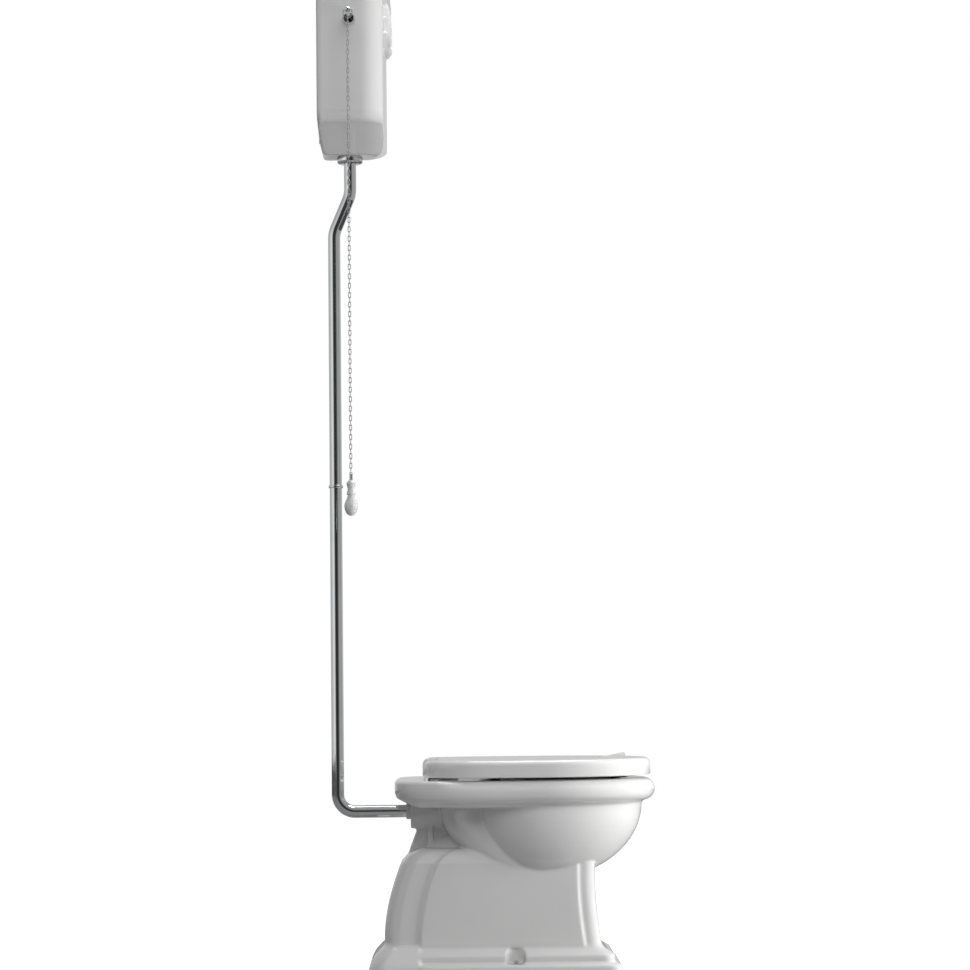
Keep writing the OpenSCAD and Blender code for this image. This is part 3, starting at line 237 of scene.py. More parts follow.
def lathe(name, profile, place, axis="z", sides=96):
    """Solid of revolution: profile is (radius, height) pairs, first and last on the axis."""
    u, v, w = (np.array(e, float) for e in AXES[axis])
    a = np.arange(sides) * 2 * np.pi / sides
    inner = [(r, h) for r, h in profile if r > 0]
    points = [np.array(place) + w * profile[0][1]]
    for r, h in inner:
        points += list(np.array(place) + w * h
                       + r * (np.outer(np.cos(a), u) + np.outer(np.sin(a), v)))
    points.append(np.array(place) + w * profile[-1][1])
    faces, last = [], len(points) - 1
    for i in range(sides):
        j = (i + 1) % sides
        faces.append((0, 1 + j, 1 + i))
        for k in range(len(inner) - 1):
            s = 1 + k * sides
            faces.append((s + i, s + j, s + sides + j, s + sides + i))
        s = 1 + (len(inner) - 1) * sides
        faces.append((s + i, s + j, last))
    return make(name, points, faces)


def arc(r, h, radius, start, end, steps):
    """Points of a profile's rounded corner round its centre (r, h), angles in degrees."""
    return [(r + radius * math.cos(math.radians(t)), h + radius * math.sin(math.radians(t)))
            for t in np.linspace(start, end, steps + 1)]


def drill(name, r, length, place, axis="z", sides=64):
    return lathe(name, [(0, 0), (r, 0), (r, length), (0, length)], place, axis, sides)


def block(name, low, high):
    x, y, z = zip(low, high)
    points = [(x[i], y[j], z[k]) for k in (0, 1) for j in (0, 1) for i in (0, 1)]
    faces = [(0, 2, 3, 1), (4, 5, 7, 6), (0, 1, 5, 4), (2, 6, 7, 3), (0, 4, 6, 2), (1, 3, 7, 5)]
    return make(name, points, faces)


def dress(obj, body, slot, material, *nodes):
    obj.data.materials.clear()
    obj.data.materials.append(material)
    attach(obj, body)
    if nodes:
        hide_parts(*nodes)
    return obj


# ---------- materials ----------

class Shader:
    """A Principled material with short helpers for its procedural detail."""

    def __init__(self, name, **values):
        self.material = bpy.data.materials.new(name)
        self.material.use_nodes = True
        self.tree = self.material.node_tree
        self.shader = self.tree.nodes["Principled BSDF"]
        for key, value in values.items():
            socket = self.shader.inputs[key.replace("_", " ")]
            socket.default_value = (*value, 1) if isinstance(value, tuple) else value
        self.place = self.tree.nodes.new("ShaderNodeTexCoord").outputs["Object"]

    def noise(self, scale, detail=3.0):
        node = self.tree.nodes.new("ShaderNodeTexNoise")
        node.inputs["Scale"].default_value = scale
        node.inputs["Detail"].default_value = detail
        self.tree.links.new(self.place, node.inputs["Vector"])
        return node.outputs["Fac"]

    def ramp(self, value, stops):
        node = self.tree.nodes.new("ShaderNodeValToRGB")
        items = node.color_ramp.elements
        while len(items) < len(stops):
            items.new(0.5)
        for item, (at, colour) in zip(items, stops):
            item.position = at
            item.color = (*colour, 1) if isinstance(colour, tuple) else (colour,) * 3 + (1,)
        self.tree.links.new(value, node.inputs["Fac"])
        return node.outputs["Color"]

    def feed(self, socket, value):
        self.tree.links.new(value, self.shader.inputs[socket])

    def vary(self, socket, scale, low, high, detail=3.0, span=(0.3, 0.7)):
        """Feeds a socket with a cloudy change between two colours or two values."""
        self.feed(socket, self.ramp(self.noise(scale, detail), list(zip(span, (low, high)))))

    def bump(self, value, strength, distance):
        node = self.tree.nodes.new("ShaderNodeBump")
        node.inputs["Strength"].default_value = strength
        node.inputs["Distance"].default_value = distance
        self.tree.links.new(value, node.inputs["Height"])
        self.tree.links.new(node.outputs["Normal"], self.shader.inputs["Normal"])


def china_material():
    m = Shader("glazed_china", Roughness=0.09, IOR=1.5, Coat_Weight=0.6, Coat_Roughness=0.03)
    m.vary("Base Color", 5, (0.80, 0.80, 0.795), (0.83, 0.83, 0.82), 2)
    m.vary("Roughness", 30, 0.07, 0.12)
    m.bump(m.noise(45, 1), 0.06, 0.0012)
    return m.material


def seat_material():
    m = Shader("seat_lacquer", Roughness=0.1, IOR=1.5, Coat_Weight=0.8, Coat_Roughness=0.03)
    m.vary("Base Color", 8, (0.84, 0.84, 0.83), (0.87, 0.87, 0.86), 2)
    m.vary("Roughness", 60, 0.08, 0.13)
    m.bump(m.noise(220, 2), 0.03, 0.0003)
    return m.material


def chrome_material():
    m = Shader("polished_chrome", Metallic=1.0, Roughness=0.05)
    m.vary("Base Color", 20, (0.74, 0.75, 0.76), (0.80, 0.81, 0.82))
    m.vary("Roughness", 90, 0.03, 0.08, 4, (0.35, 0.75))
    return m.material


def chain_material():
    m = Shader("plated_steel_wire", Metallic=0.55, Roughness=0.45)
    m.vary("Base Color", 90, (0.48, 0.48, 0.49), (0.58, 0.58, 0.59))
    m.vary("Roughness", 240, 0.4, 0.52, 3)
    return m.material


def brass_material():
    m = Shader("satin_brass", Metallic=1.0, Roughness=0.3)
    m.vary("Base Color", 60, (0.50, 0.36, 0.14), (0.68, 0.52, 0.24))
    m.vary("Roughness", 150, 0.22, 0.42, 4)
    m.bump(m.noise(400, 3), 0.1, 0.0002)
    return m.material


def rubber_material():
    m = Shader("dark_rubber", Roughness=0.65)
    m.vary("Base Color", 120, (0.018, 0.018, 0.02), (0.04, 0.04, 0.042))
    m.vary("Roughness", 300, 0.55, 0.8, 3)
    m.bump(m.noise(700, 2), 0.25, 0.0002)
    return m.material


def plastic_material():
    m = Shader("white_plastic", Roughness=0.4)
    m.vary("Base Color", 30, (0.74, 0.74, 0.72), (0.80, 0.80, 0.78))
    m.vary("Roughness", 200, 0.35, 0.5, 3)
    m.bump(m.noise(600, 2), 0.12, 0.0002)
    return m.material


MATERIALS = {
    "china": china_material(), "seat": seat_material(), "chrome": chrome_material(),
    "brass": brass_material(), "rubber": rubber_material(), "plastic": plastic_material(),
}
NODE_SLOT = {s["node"]: s["material_slot"] for s in frame["record"]["subparts"]}
for node_name, node_object in frame["nodes"].items():
    for material_slot in node_object.material_slots:
        material_slot.link = "OBJECT"
        material_slot.material = MATERIALS[NODE_SLOT[node_name]]


# ---------- pan ----------

RIM_OUTLINE = egg(RIM_FRONT, -SHELF_BACK, RIM_HALF, RIM_MID, RIM_SQUARENESS)
ROLL_Z = RIM_Z - RIM_ROLL_R
BOWL_TOP = RIM_Z - 54
MOUTH_FRONT, MOUTH_BACK, MOUTH_HALF, MOUTH_MID = RIM_FRONT - 55, 130, RIM_HALF - 59, 270


def roll_inset(z):
    """How far the rounded edge stands in at one height, from the widest outline."""
    h = (z - ROLL_Z) / RIM_ROLL_R
    return -RIM_ROLL_R if abs(h) >= 1 else -RIM_ROLL_R * (1 - math.sqrt(1 - h * h))


def shelf_inset(z):
    """The same for the flat shelf behind: sloping underside, chamfer, upright edge, round top."""
    slope, chamfer, edge_low, round_h = 1.93, 4, RIM_Z - 25, 7
    if z < SHELF_LOW:
        return -chamfer - (SHELF_LOW - z) * slope
    if z < edge_low:
        return -chamfer * (edge_low - z) / (edge_low - SHELF_LOW)
    return -6 * ((z - RIM_Z + round_h) / round_h) ** 2 if z > RIM_Z - round_h else 0


def rim_ring(z, extra=0.0):
    k = smooth_step(SHELF_FRONT, SHELF_FRONT + SHELF_BLEND, RIM_OUTLINE[:, 0])
    return level(grow(RIM_OUTLINE, k * (roll_inset(z) + extra) + (1 - k) * shelf_inset(z)), z)


def foot_curve(z):
    """Share of the plinth's reach at one height: two crisp steps."""
    return np.interp(z, [0, 10, 20, 36, 39, 42, 44, 56, 59, 65, 70, 75, 80],
                     [0.9, 0.88, 0.87, 0.865, 0.82, 0.6, 0.55, 0.6, 0.55, 0.3, 0.12, 0.03, 0])


def heel_curve(z):
    """The same at the back, where the plinth is plain and round."""
    return np.interp(z, [0, 20, 36, 44, 56, 65, 70, 75, 80],
                     [0.92, 0.88, 0.82, 0.74, 0.57, 0.37, 0.25, 0.1, 0])


def waist(z):
    """How far the pedestal spreads from its waist, 200 mm up, towards the foot."""
    return 11 * max(0, (200 - z) / 120) ** 1.6


def heel(z):
    """How far the pedestal's back leans forward above the plinth."""
    return 41 * max(0, (z - 91) / 165) ** 1.9


def shoulder_inset(z):
    r = SHOULDER_R
    d = z - SHOULDER_Z + r
    return 0 if d <= 0 else r - math.sqrt(max(0, r * r - d * d)) + SHOULDER_STEP


def pedestal_ring(z):
    """Level outline: front corner, raised side panel with soft edges, rear corner, mirrored."""
    foot, back_foot = PLINTH_OUT * foot_curve(z), PLINTH_OUT * heel_curve(z)
    s = shoulder_inset(z)
    raised = PANEL_RAISE * float(smooth_step(PLINTH_TOP - 10, PLINTH_TOP, z))
    w = PEDESTAL_HALF + SIDE_SPREAD * waist(z)
    front = PEDESTAL_FRONT + waist(z) + foot - s
    back = -PEDESTAL_BACK + heel(z) - back_foot + s
    wf, wb = w + foot - s, w + back_foot - s
    rf, rb, edge = PEDESTAL_FRONT_R, PEDESTAL_BACK_R, PANEL_EDGE
    end, start = front - foot - FRONT_BAND_W, back + back_foot + BAND_W
    turn = np.radians(np.arange(0, 91, 5))
    side = [(front - rf + rf * math.cos(a), wf - rf + rf * math.sin(a)) for a in turn]
    fade = np.linspace(0, 1, 7)
    side += [(end - edge * t, wf + raised * float(smooth_step(0, 1, t))) for t in fade]
    side += [(end - edge + (start - end + 2 * edge) * t, wf + raised)
             for t in np.linspace(0, 1, 24)[1:-1]]
    side += [(start + edge - edge * t,
              wf + raised + (wb - wf - raised) * float(smooth_step(0, 1, t))) for t in fade]
    side += [(back + rb + rb * math.cos(a), wb - rb + rb * math.sin(a)) for a in turn + np.pi / 2]
    side = np.array(side)
    return level(np.concatenate([side, side[::-1] * [1, -1]]), z)


# Inside of the bowl: depth below its top, then its front, back and half width.
SUMP_LEVELS = [
    (229, 255, 210, 24), (216, 272, 197, 40), (191, 285, 191, 50), (161, 305, 187, 62),
    (139, 335, 179, 80), (116, 372, 166, 100), (91, 404, 150, 118), (61, 428, 132, 134),
    (31, 440, 120, 143), (0, 444, 113, 146),
]


def bowl_ring(front, back, half, mid, z):
    return level(egg(front, back, half, mid, BOWL_SQUARENESS, 160), z)


def sump_ring(drop, front, back, half):
    return bowl_ring(front, back, half, (front + back) / 2 + 12, BOWL_TOP - drop)


def mouth_ring(d, z):
    return bowl_ring(MOUTH_FRONT + d, MOUTH_BACK - d, MOUTH_HALF + d, MOUTH_MID, z)


# Middle of the waterway, from the sump over the weir and down to the outlet.
TRAP_PATH = [
    (238, 0, 168), (205, 0, 160), (170, 0, 172), (135, 0, 202), (106, 0, 235), (78, 0, 255),
    (46, 0, 251), (20, 0, 228), (5, 0, 193), (0, 0, 155), (0, 0, 60),
]


def smooth_path(points, steps=6):
    """Catmull-Rom curve through the points."""
    p = np.array([points[0], *points, points[-1]], float)
    out = []
    for k in range(1, len(p) - 2):
        a, b, c, d = p[k - 1:k + 3]
        for t in np.arange(steps) / steps:
            out.append(0.5 * (2 * b + (c - a) * t + (2 * a - 5 * b + 4 * c - d) * t * t
                              + (3 * b - a - 3 * c + d) * t ** 3))
    return np.array(out + [p[-1]])


# The china round the trap's upper limb: height, how far back it reaches and its half width.
LIMB_LEVELS = [
    (229, 165, 96), (236, 145, 98), (244, 128, 100), (253, 110, 101), (262, 94, 101),
    (272, 78, 101), (285, 63, 100), (300, 50, 98), (320, 40, 95), (345, 34, 91), (385, 31, 90),
]
LIMB_FRONT, LIMB_MID, LIMB_SQUARENESS, BEND_WALL = 250, 190, 3, 9
# The thin web below the inlet boss, and the strut that stands across it.
WEB_OUTLINE = [(-14, 345), (-14, 308), (-36, 250), (-46, 230), (-46, 200), (60, 200), (60, 345)]
WEB_HALF = 12
STRUT_BACK, STRUT_FRONT, STRUT_HALF = 9, 20, 24
STRUT_LOW, STRUT_HIGH = SHOULDER_Z - 20, SHOULDER_Z + 57
BOSS_L = 140
CHANNEL_IN, CHANNEL_BACK, CHANNEL_SQUARENESS = 15, 96, 2.4


def under_rim(z):
    """Outer outline of the flushing channel inside the rim."""
    return level(egg(RIM_FRONT - CHANNEL_IN, CHANNEL_BACK, RIM_HALF - CHANNEL_IN, RIM_MID,
                     CHANNEL_SQUARENESS, 160), z)


def pan_outside():
    neck_in = RIM_ROLL_R - RIM_OVERHANG
    neck = [rim_ring(BOWL_TOP - OVERLAP, neck_in - 2), rim_ring(BOWL_TOP + 6, neck_in + 4)]
    roll = [rim_ring(ROLL_Z + RIM_ROLL_R * math.sin(math.radians(a))) for a in range(-76, 77, 4)]
    rim = loft("pan_rim", neck + roll + [rim_ring(RIM_Z)])
    bowl_front, bowl_half = RIM_FRONT - RIM_OVERHANG, RIM_HALF - RIM_OVERHANG
    bowl_rings = []
    for a in np.radians(np.arange(88, -1, -4)):
        k = math.cos(a)
        bowl_rings.append(level(egg(RIM_MID + (bowl_front - RIM_MID) * k,
                                    RIM_MID - (RIM_MID - BOWL_BACK) * k,
                                    bowl_half * k ** BOWL_FULLNESS, RIM_MID, BOWL_SQUARENESS),
                                BOWL_TOP + 2 - (BOWL_DEPTH + 2) * math.sin(a)))
    bowl = loft("pan_bowl", bowl_rings)
    bend_z = SHOULDER_Z - SHOULDER_R
    heights = np.concatenate([np.arange(0, 96, 1.5), np.arange(100, bend_z, 8),
                              bend_z + SHOULDER_R * np.sin(np.radians(np.arange(0, 91, 10)))])
    pedestal = loft("pan_pedestal", [pedestal_ring(z) for z in heights])
    limb = loft("pan_limb", [level(egg(LIMB_FRONT, back, half, LIMB_MID, LIMB_SQUARENESS), z)
                             for z, back, half in smooth_path(LIMB_LEVELS)])
    bend = sweep("pan_bend", smooth_path(TRAP_PATH[4:10]), TRAP_R + BEND_WALL)
    web = prism("pan_web", WEB_OUTLINE, WEB_HALF)
    strut = block("pan_strut", (STRUT_BACK, -STRUT_HALF, STRUT_LOW),
                  (STRUT_FRONT, STRUT_HALF, STRUT_HIGH))
    boss = drill("pan_boss", INLET_BOSS_R, BOSS_L, (BOSS_BACK, 0, INLET_Z - 7), "x")
    return combine(rim, [bowl, pedestal, limb, bend, web, strut, boss], "UNION")


def pan_piece():
    pan = pan_outside()
    notches = [drill("notch", NOTCH_R, NOTCH_H, (FLOOR_HOLE_X, side * FLOOR_HOLE_Y, LEDGE_Z))
               for side in (-1, 1)]
    combine(pan, notches, "DIFFERENCE")
    soften(pan, voxel=2.5, rounds=5)
    bowl = loft("cut_bowl", [sump_ring(*row) for row in SUMP_LEVELS])
    mouth = loft("cut_mouth", [
        mouth_ring(14, BOWL_TOP - OVERLAP), mouth_ring(6, RIM_Z - 45), mouth_ring(-5, RIM_Z - 39),
        mouth_ring(-6, RIM_Z - 10), mouth_ring(-5, RIM_Z - 5), mouth_ring(-3, RIM_Z - 2),
        mouth_ring(2, RIM_Z + OVERLAP)])
    roof = RIM_Z - CHINA
    channel = loft("cut_channel", [under_rim(SHELF_LOW - OVERLAP), under_rim(roof)])
    lip = loft("lip", [mouth_ring(2, RIM_Z - 60), mouth_ring(10, roof + OVERLAP)])
    combine(channel, [lip], "DIFFERENCE")
    throat = loft("cut_throat", [mouth_ring(14, BOWL_TOP - OVERLAP), under_rim(SHELF_LOW)])
    trap = sweep("cut_trap", smooth_path(TRAP_PATH), TRAP_R)
    outlet = drill("cut_outlet", OUTLET_BORE_R, OUTLET_H + OVERLAP, (0, 0, -OVERLAP))
    clear = 30
    inlet = drill("cut_inlet", INLET_BORE_R, clear + INLET_BORE_L,
                  (BOSS_BACK - clear, 0, INLET_Z), "x")
    feed = drill("cut_feed", FEED_R, 110, (20, 0, INLET_Z), "x")
    studs = [drill("cut_stud", STUD_HOLE_R, 40, (HINGE_X, side * HINGE_HALF, RIM_Z - 19))
             for side in (-1, 1)]
    screws = [drill("cut_screw", FLOOR_HOLE_R, 60, (FLOOR_HOLE_X, side * FLOOR_HOLE_Y, -OVERLAP))
              for side in (-1, 1)]
    combine(pan, [bowl, mouth, channel, throat, trap, outlet, inlet, feed, *studs, *screws],
            "DIFFERENCE")
    shade(pan, 35)
    pan.name = "pan_glazed"
    return dress(pan, "fixed", "china", MATERIALS["china"], "pan_foot", "pan_bowl", "pan_rim")


# ---------- seat and lid ----------

LID_OUTLINE = egg(LID_FRONT, 0, LID_HALF, LID_MID, RIM_SQUARENESS)
LID_EDGE_R, LID_WALL, TAB_HALF = 11, 5, 12
NOTCH_OUT, NOTCH_BACK, NOTCH_FRONT = 36, -20, 34


def hinge_notches(inner):
    """Room for the hinges in the rear edge, from a distance inner each side of the middle."""
    outer = HINGE_HALF + NOTCH_OUT
    return [block("notch", (NOTCH_BACK, low, RIM_Z - 10), (NOTCH_FRONT, high, LID_TOP + 30))
            for low, high in [(-outer, -inner), (inner, outer)]]


def lid_piece():
    edge = LID_EDGE_R
    outside = loft("seat_lid_smooth",
                   [level(grow(LID_OUTLINE, -2), LID_BOTTOM),
                    level(grow(LID_OUTLINE, -0.6), LID_BOTTOM + 1),
                    level(LID_OUTLINE, LID_BOTTOM + 3)]
                   + [level(grow(LID_OUTLINE, -edge * (1 - math.cos(a))),
                            LID_TOP - edge + edge * math.sin(a))
                      for a in np.radians(np.arange(0, 91, 6))])
    tab = [(372, -2), (372, 0), (418, 9), (421, 9.6), (423, 8.6), (423.5, 7), (423.5, -2)]
    combine(outside, [prism("tab", [(x, LID_TOP + z) for x, z in tab], TAB_HALF)], "UNION")
    inside = loft("inside", [level(grow(LID_OUTLINE, -LID_WALL), LID_BOTTOM - 1),
                             level(grow(LID_OUTLINE, -LID_WALL), LID_TOP - 17),
                             level(grow(LID_OUTLINE, -7), LID_TOP - 13),
                             level(grow(LID_OUTLINE, -11), LID_TOP - 11)])
    combine(outside, [inside, *hinge_notches(LID_KNUCKLE)], "DIFFERENCE")
    shade(outside, 30)
    return dress(outside, "lid", "seat", MATERIALS["seat"], "seat_lid")


def seat_piece():
    outer = grow(LID_OUTLINE, -SEAT_INSET)
    inner = egg(MOUTH_FRONT - 15, MOUTH_BACK - 8, SEAT_HOLE_HALF, LID_MID + 15, BOWL_SQUARENESS)
    reach = np.linalg.norm(outer - inner, axis=1)
    way = (outer - inner) / reach[:, None]
    # Distance from the inner edge, or back from the outer one where negative, and height.
    # None is a place 0.45 of the way across.
    crown = 0.45
    section = [(0, 5), (0.6, 3.2), (3, 1.5), (5, 0.5), (8, 0), (-5, 0), (-2.6, 0.7), (-1.5, 2),
               (-0.3, 4), (-1e-6, 6), (-1e-6, SEAT_T - 7), (-0.6, SEAT_T - 4.4),
               (-2, SEAT_T - 2.5), (-4, SEAT_T - 0.8), (-7, SEAT_T), (None, SEAT_T - 1),
               (14, SEAT_T - 2.4), (8, SEAT_T - 4), (4.5, SEAT_T - 5.6), (2, SEAT_T - 8),
               (0.5, SEAT_T - 11)]
    columns = []
    for k, z in section:
        along = reach * crown if k is None else (reach + k if k < 0 else np.full(len(reach), k))
        columns.append(np.column_stack([inner + way * along[:, None],
                                        np.full(len(reach), SEAT_BOTTOM + z)]))
    points = np.stack(columns, 1)[::-1].reshape(-1, 3)
    seat = make("seat_ring_smooth", points, grid_faces(len(reach), len(section), wrap=True))
    past_middle = -1
    combine(seat, hinge_notches(past_middle), "DIFFERENCE")
    shade(seat, 40)
    return dress(seat, "seat", "seat", MATERIALS["seat"], "seat_ring")


# ---------- flush pipe ----------

def bend_points(start, corner, end, radius, steps=12):
    """Arc that rounds the corner of a line through three points in the XZ plane."""
    a, b, c = (np.array((p[0], 0, p[1]), float) for p in (start, corner, end))
    u, v = (a - b) / np.linalg.norm(a - b), (c - b) / np.linalg.norm(c - b)
    half = math.acos(np.clip(np.dot(u, v), -1, 1)) / 2
    centre = b + (u + v) / np.linalg.norm(u + v) * radius / math.sin(half)
    first, last = b + u * radius / math.tan(half), b + v * radius / math.tan(half)
    r0, r1 = first - centre, last - centre
    turn = math.acos(np.clip(np.dot(r0, r1) / radius ** 2, -1, 1))
    return [centre + (math.sin((1 - t) * turn) * r0 + math.sin(t * turn) * r1) / math.sin(turn)
            for t in np.linspace(0, 1, steps + 1)]


def pipe(name, corners, radius, *nodes):
    """Chrome pipe with rounded bends and an open bore at both ends."""
    path = [np.array((corners[0][0], 0, corners[0][1]), float)]
    for k in range(1, len(corners) - 1):
        path += bend_points(*corners[k - 1:k + 2], radius)
    path.append(np.array((corners[-1][0], 0, corners[-1][1]), float))
    outer = sweep(name, path, PIPE_R, 96)
    lead, tail = path[0] - path[1], path[-1] - path[-2]
    core = [path[0] + lead / np.linalg.norm(lead), *path[1:-1],
            path[-1] + tail / np.linalg.norm(tail)]
    combine(outer, [sweep("bore", core, PIPE_R - PIPE_WALL, 96)], "DIFFERENCE")
    shade(outer, 50)
    return dress(outer, "fixed", "chrome", MATERIALS["chrome"], *nodes)


def pipe_pieces():
    pipe("flush_pipe_lower_smooth",
         [(RUN_X, JOINT_Z), (RUN_X, INLET_Z), (PIPE_END_X, INLET_Z)], ELBOW_R, "flush_pipe_lower")
    pipe("flush_pipe_upper_smooth",
         [(RUN_X, JOINT_Z), (RUN_X, OFFSET_Z), (OUTLET_X, OFFSET_Z + OFFSET_H),
          (OUTLET_X, PIPE_TOP_Z)], OFFSET_BEND_R, "flush_pipe_upper")
    round_r, half_h = 1.4, 3
    ring = lathe("pipe_joint_ring",
                 [(0, -half_h)] + arc(PIPE_R + 1, round_r - half_h, round_r, -90, 0, 4)
                 + arc(PIPE_R + 1, half_h - round_r, round_r, 0, 90, 4) + [(0, half_h)],
                 (RUN_X, 0, JOINT_Z))
    bore = drill("bore", PIPE_R - PIPE_WALL - 1, 20, (RUN_X, 0, JOINT_Z - 10))
    combine(ring, [bore], "DIFFERENCE")
    dress(ring, "fixed", "chrome", MATERIALS["chrome"], "pipe_joint_sleeve")
    nut = lathe("outlet_nut_smooth",
                [(0, 0), (PIPE_R + 4, 0)] + arc(NUT_R - 4, 4, 4, -70, 0, 6)
                + arc(NUT_R - 1, NUT_H - 1.2, 1, 0, 90, 4) + [(0, NUT_H)],
                (OUTLET_X, 0, WELL_Z - NUT_H - TOUCH))
    combine(nut, [drill("bore", PIPE_R + 0.1, 30, (OUTLET_X, 0, WELL_Z - 20)),
                  drill("thread", NUT_THREAD_R, 20, (OUTLET_X, 0, WELL_Z - NUT_H + 3))],
            "DIFFERENCE")
    shade(nut, 35)
    dress(nut, "fixed", "chrome", MATERIALS["chrome"], "outlet_nut")


# ---------- cistern ----------

CORNER_R, EDGE_R, WALL_T, BACK_R = 46, 25, 9, 8
FLARE, FLARE_Z = 6, CISTERN_TOP - 52
RIB_L, RIB_HALF_W, RIB_H, ORNAMENT_Z = 98, 13, 15.5, CISTERN_Z + 190


def cistern_ring(z, extra, r_front, back_share=1.0, half=None):
    """Level outline, extra wider than the body, with its own front corners and half width."""
    f = CISTERN_FRONT + extra
    b = CISTERN_BACK - back_share * min(0, extra)
    h = CISTERN_HALF + extra if half is None else half
    front_turn, back_turn = np.radians(np.arange(0, 91, 5)), np.radians(np.arange(90, 181, 10))
    side = [(f - r_front + r_front * math.cos(a), h - r_front + r_front * math.sin(a))
            for a in front_turn]
    side += [(b + BACK_R + BACK_R * math.cos(a), h - BACK_R + BACK_R * math.sin(a))
             for a in back_turn]
    side = np.array(side)
    return level(np.concatenate([side, side[::-1] * [1, -1]]), z)


def well_ring(up, inset, flat_half, end_half, base, back_share):
    """Ring of the bottom, which falls from the cistern's ends to the flat round the outlet."""
    h = flat_half + (end_half - flat_half) * up / WELL_DROP
    return cistern_ring(base + up, -inset, min(CORNER_R - inset, h - 6), back_share, h)


def rib(length, half_w, height, turn, place):
    """One rounded rib of the front ornament, turned about X in degrees."""
    rings = []
    for t in np.linspace(0, 1, 17):
        w = half_w * math.sin(math.radians(20 + 145 * t))
        h = height * math.sqrt(math.sin(math.radians(14 + 152 * t)))
        a = np.arange(32) * 2 * np.pi / 32
        rings.append(np.column_stack([h * np.cos(a), w * np.sin(a), np.full(32, length * t)]))
    piece = loft("rib", rings)
    c, s = math.cos(math.radians(turn)), math.sin(math.radians(turn))
    co = np.array([v.co for v in piece.data.vertices])
    y, z = co[:, 1].copy(), co[:, 2].copy()
    co[:, 1], co[:, 2] = c * y - s * z, s * y + c * z
    co += np.array(place) * MM
    piece.data.vertices.foreach_set("co", co.ravel())
    return piece


def cistern_piece():
    end_half = CISTERN_HALF - EDGE_R
    # The rounded lower edge: height above the outlet's flat face, and how far in.
    rings = [well_ring(up, inset, WELL_HALF, end_half, WELL_Z, 0.4)
             for up, inset in [(0, 22), (0.7, 18), (2, 14), (4, 10), (6, 7), (9, 4.7), (12, 3),
                               (17, 1.1), (22, 0), (29, 0)]]
    for a in np.radians(np.arange(0, 91, 6)):
        rings.append(cistern_ring(CISTERN_Z + EDGE_R * (1 - math.cos(a)), 0, CORNER_R,
                                  half=end_half + EDGE_R * math.sin(a)))
    rings.append(cistern_ring(FLARE_Z, 0, CORNER_R))
    for k in np.linspace(0, 1, 13)[1:]:
        rings.append(cistern_ring(FLARE_Z + k * (CISTERN_TOP - FLARE_Z),
                                  FLARE * (1 - math.cos(math.pi * k)) / 2, CORNER_R))
    body = loft("cistern_glazed", rings)
    ribs = []
    for a in range(-75, 76, 25):
        c, s = math.cos(math.radians(a)), math.sin(math.radians(a))
        ribs.append(rib(RIB_L - abs(a) / 4, RIB_HALF_W, RIB_H, a,
                        (CISTERN_FRONT, -8 * s, ORNAMENT_Z + 8 * c)))
    ribs.append(rib(90, RIB_HALF_W, RIB_H - 2, -90, (CISTERN_FRONT, -45, ORNAMENT_Z)))
    combine(body, ribs, "UNION")
    soften(body, voxel=2.2, rounds=8)
    w = WALL_T
    floor_z, low_half = WELL_Z + w + 3, CISTERN_HALF - w - 14
    inside = loft("inside", [
        well_ring(0, w + 14, FLOOR_HALF, low_half, floor_z, 1),
        well_ring(5, w + 4, FLOOR_HALF, low_half, floor_z, 1),
        well_ring(16, w, FLOOR_HALF, low_half, floor_z, 1),
        well_ring(WELL_DROP, w, FLOOR_HALF, low_half, floor_z, 1),
        cistern_ring(floor_z + WELL_DROP + 8, -w, CORNER_R - w, half=CISTERN_HALF - w - 3),
        cistern_ring(floor_z + WELL_DROP + 18, -w, CORNER_R - w),
        cistern_ring(CISTERN_TOP + 5, -w, CORNER_R - w)])
    cuts = [inside,
            drill("outlet", TAIL_HOLE_R, 30, (OUTLET_X, 0, WELL_Z - 5)),
            drill("lever", LEVER_HOLE_R, 30, (LEVER_X, -CISTERN_HALF - 10, LEVER_Z), "y"),
            drill("water", WATER_HOLE_R, 30, (LEVER_X, CISTERN_HALF - 20, WATER_Z), "y")]
    cuts += [drill("wall", WALL_HOLE_R, 30,
                   (CISTERN_BACK - 10, side * WALL_HOLE_Y, WALL_HOLE_Z), "x")
             for side in (-1, 1)]
    combine(body, cuts, "DIFFERENCE")
    shade(body, 35)
    return dress(body, "fixed", "china", MATERIALS["china"], "cistern_body")


def cistern_lid_piece():
    extra, slab = FLARE + 5, 24
    profile = [(0.05, -2), (1, -0.6), (3, 0), (slab - 12, 0), (slab - 9, -0.6), (slab - 6, -2),
               (slab - 4, -3.6), (slab - 2, -6), (slab - 0.6, -8.6), (slab, -11)]
    lid = loft("cistern_lid_smooth",
               [cistern_ring(CISTERN_TOP + z, extra + d, CORNER_R + min(0, d + 7))
                for z, d in profile])
    rib_in = -WALL_T - 1.5
    collar = loft("collar", [cistern_ring(CISTERN_TOP - 8, rib_in, CORNER_R - 9),
                             cistern_ring(CISTERN_TOP + 1, rib_in, CORNER_R - 9)])
    combine(collar, [loft("core", [cistern_ring(CISTERN_TOP - 9, rib_in - 8, CORNER_R - 16),
                                   cistern_ring(CISTERN_TOP, rib_in - 8, CORNER_R - 16)])],
            "DIFFERENCE")
    combine(lid, [collar], "UNION")
    shade(lid, 35)
    return dress(lid, "cover", "china", MATERIALS["china"], "cistern_lid")


# ---------- lever, chain and handle ----------

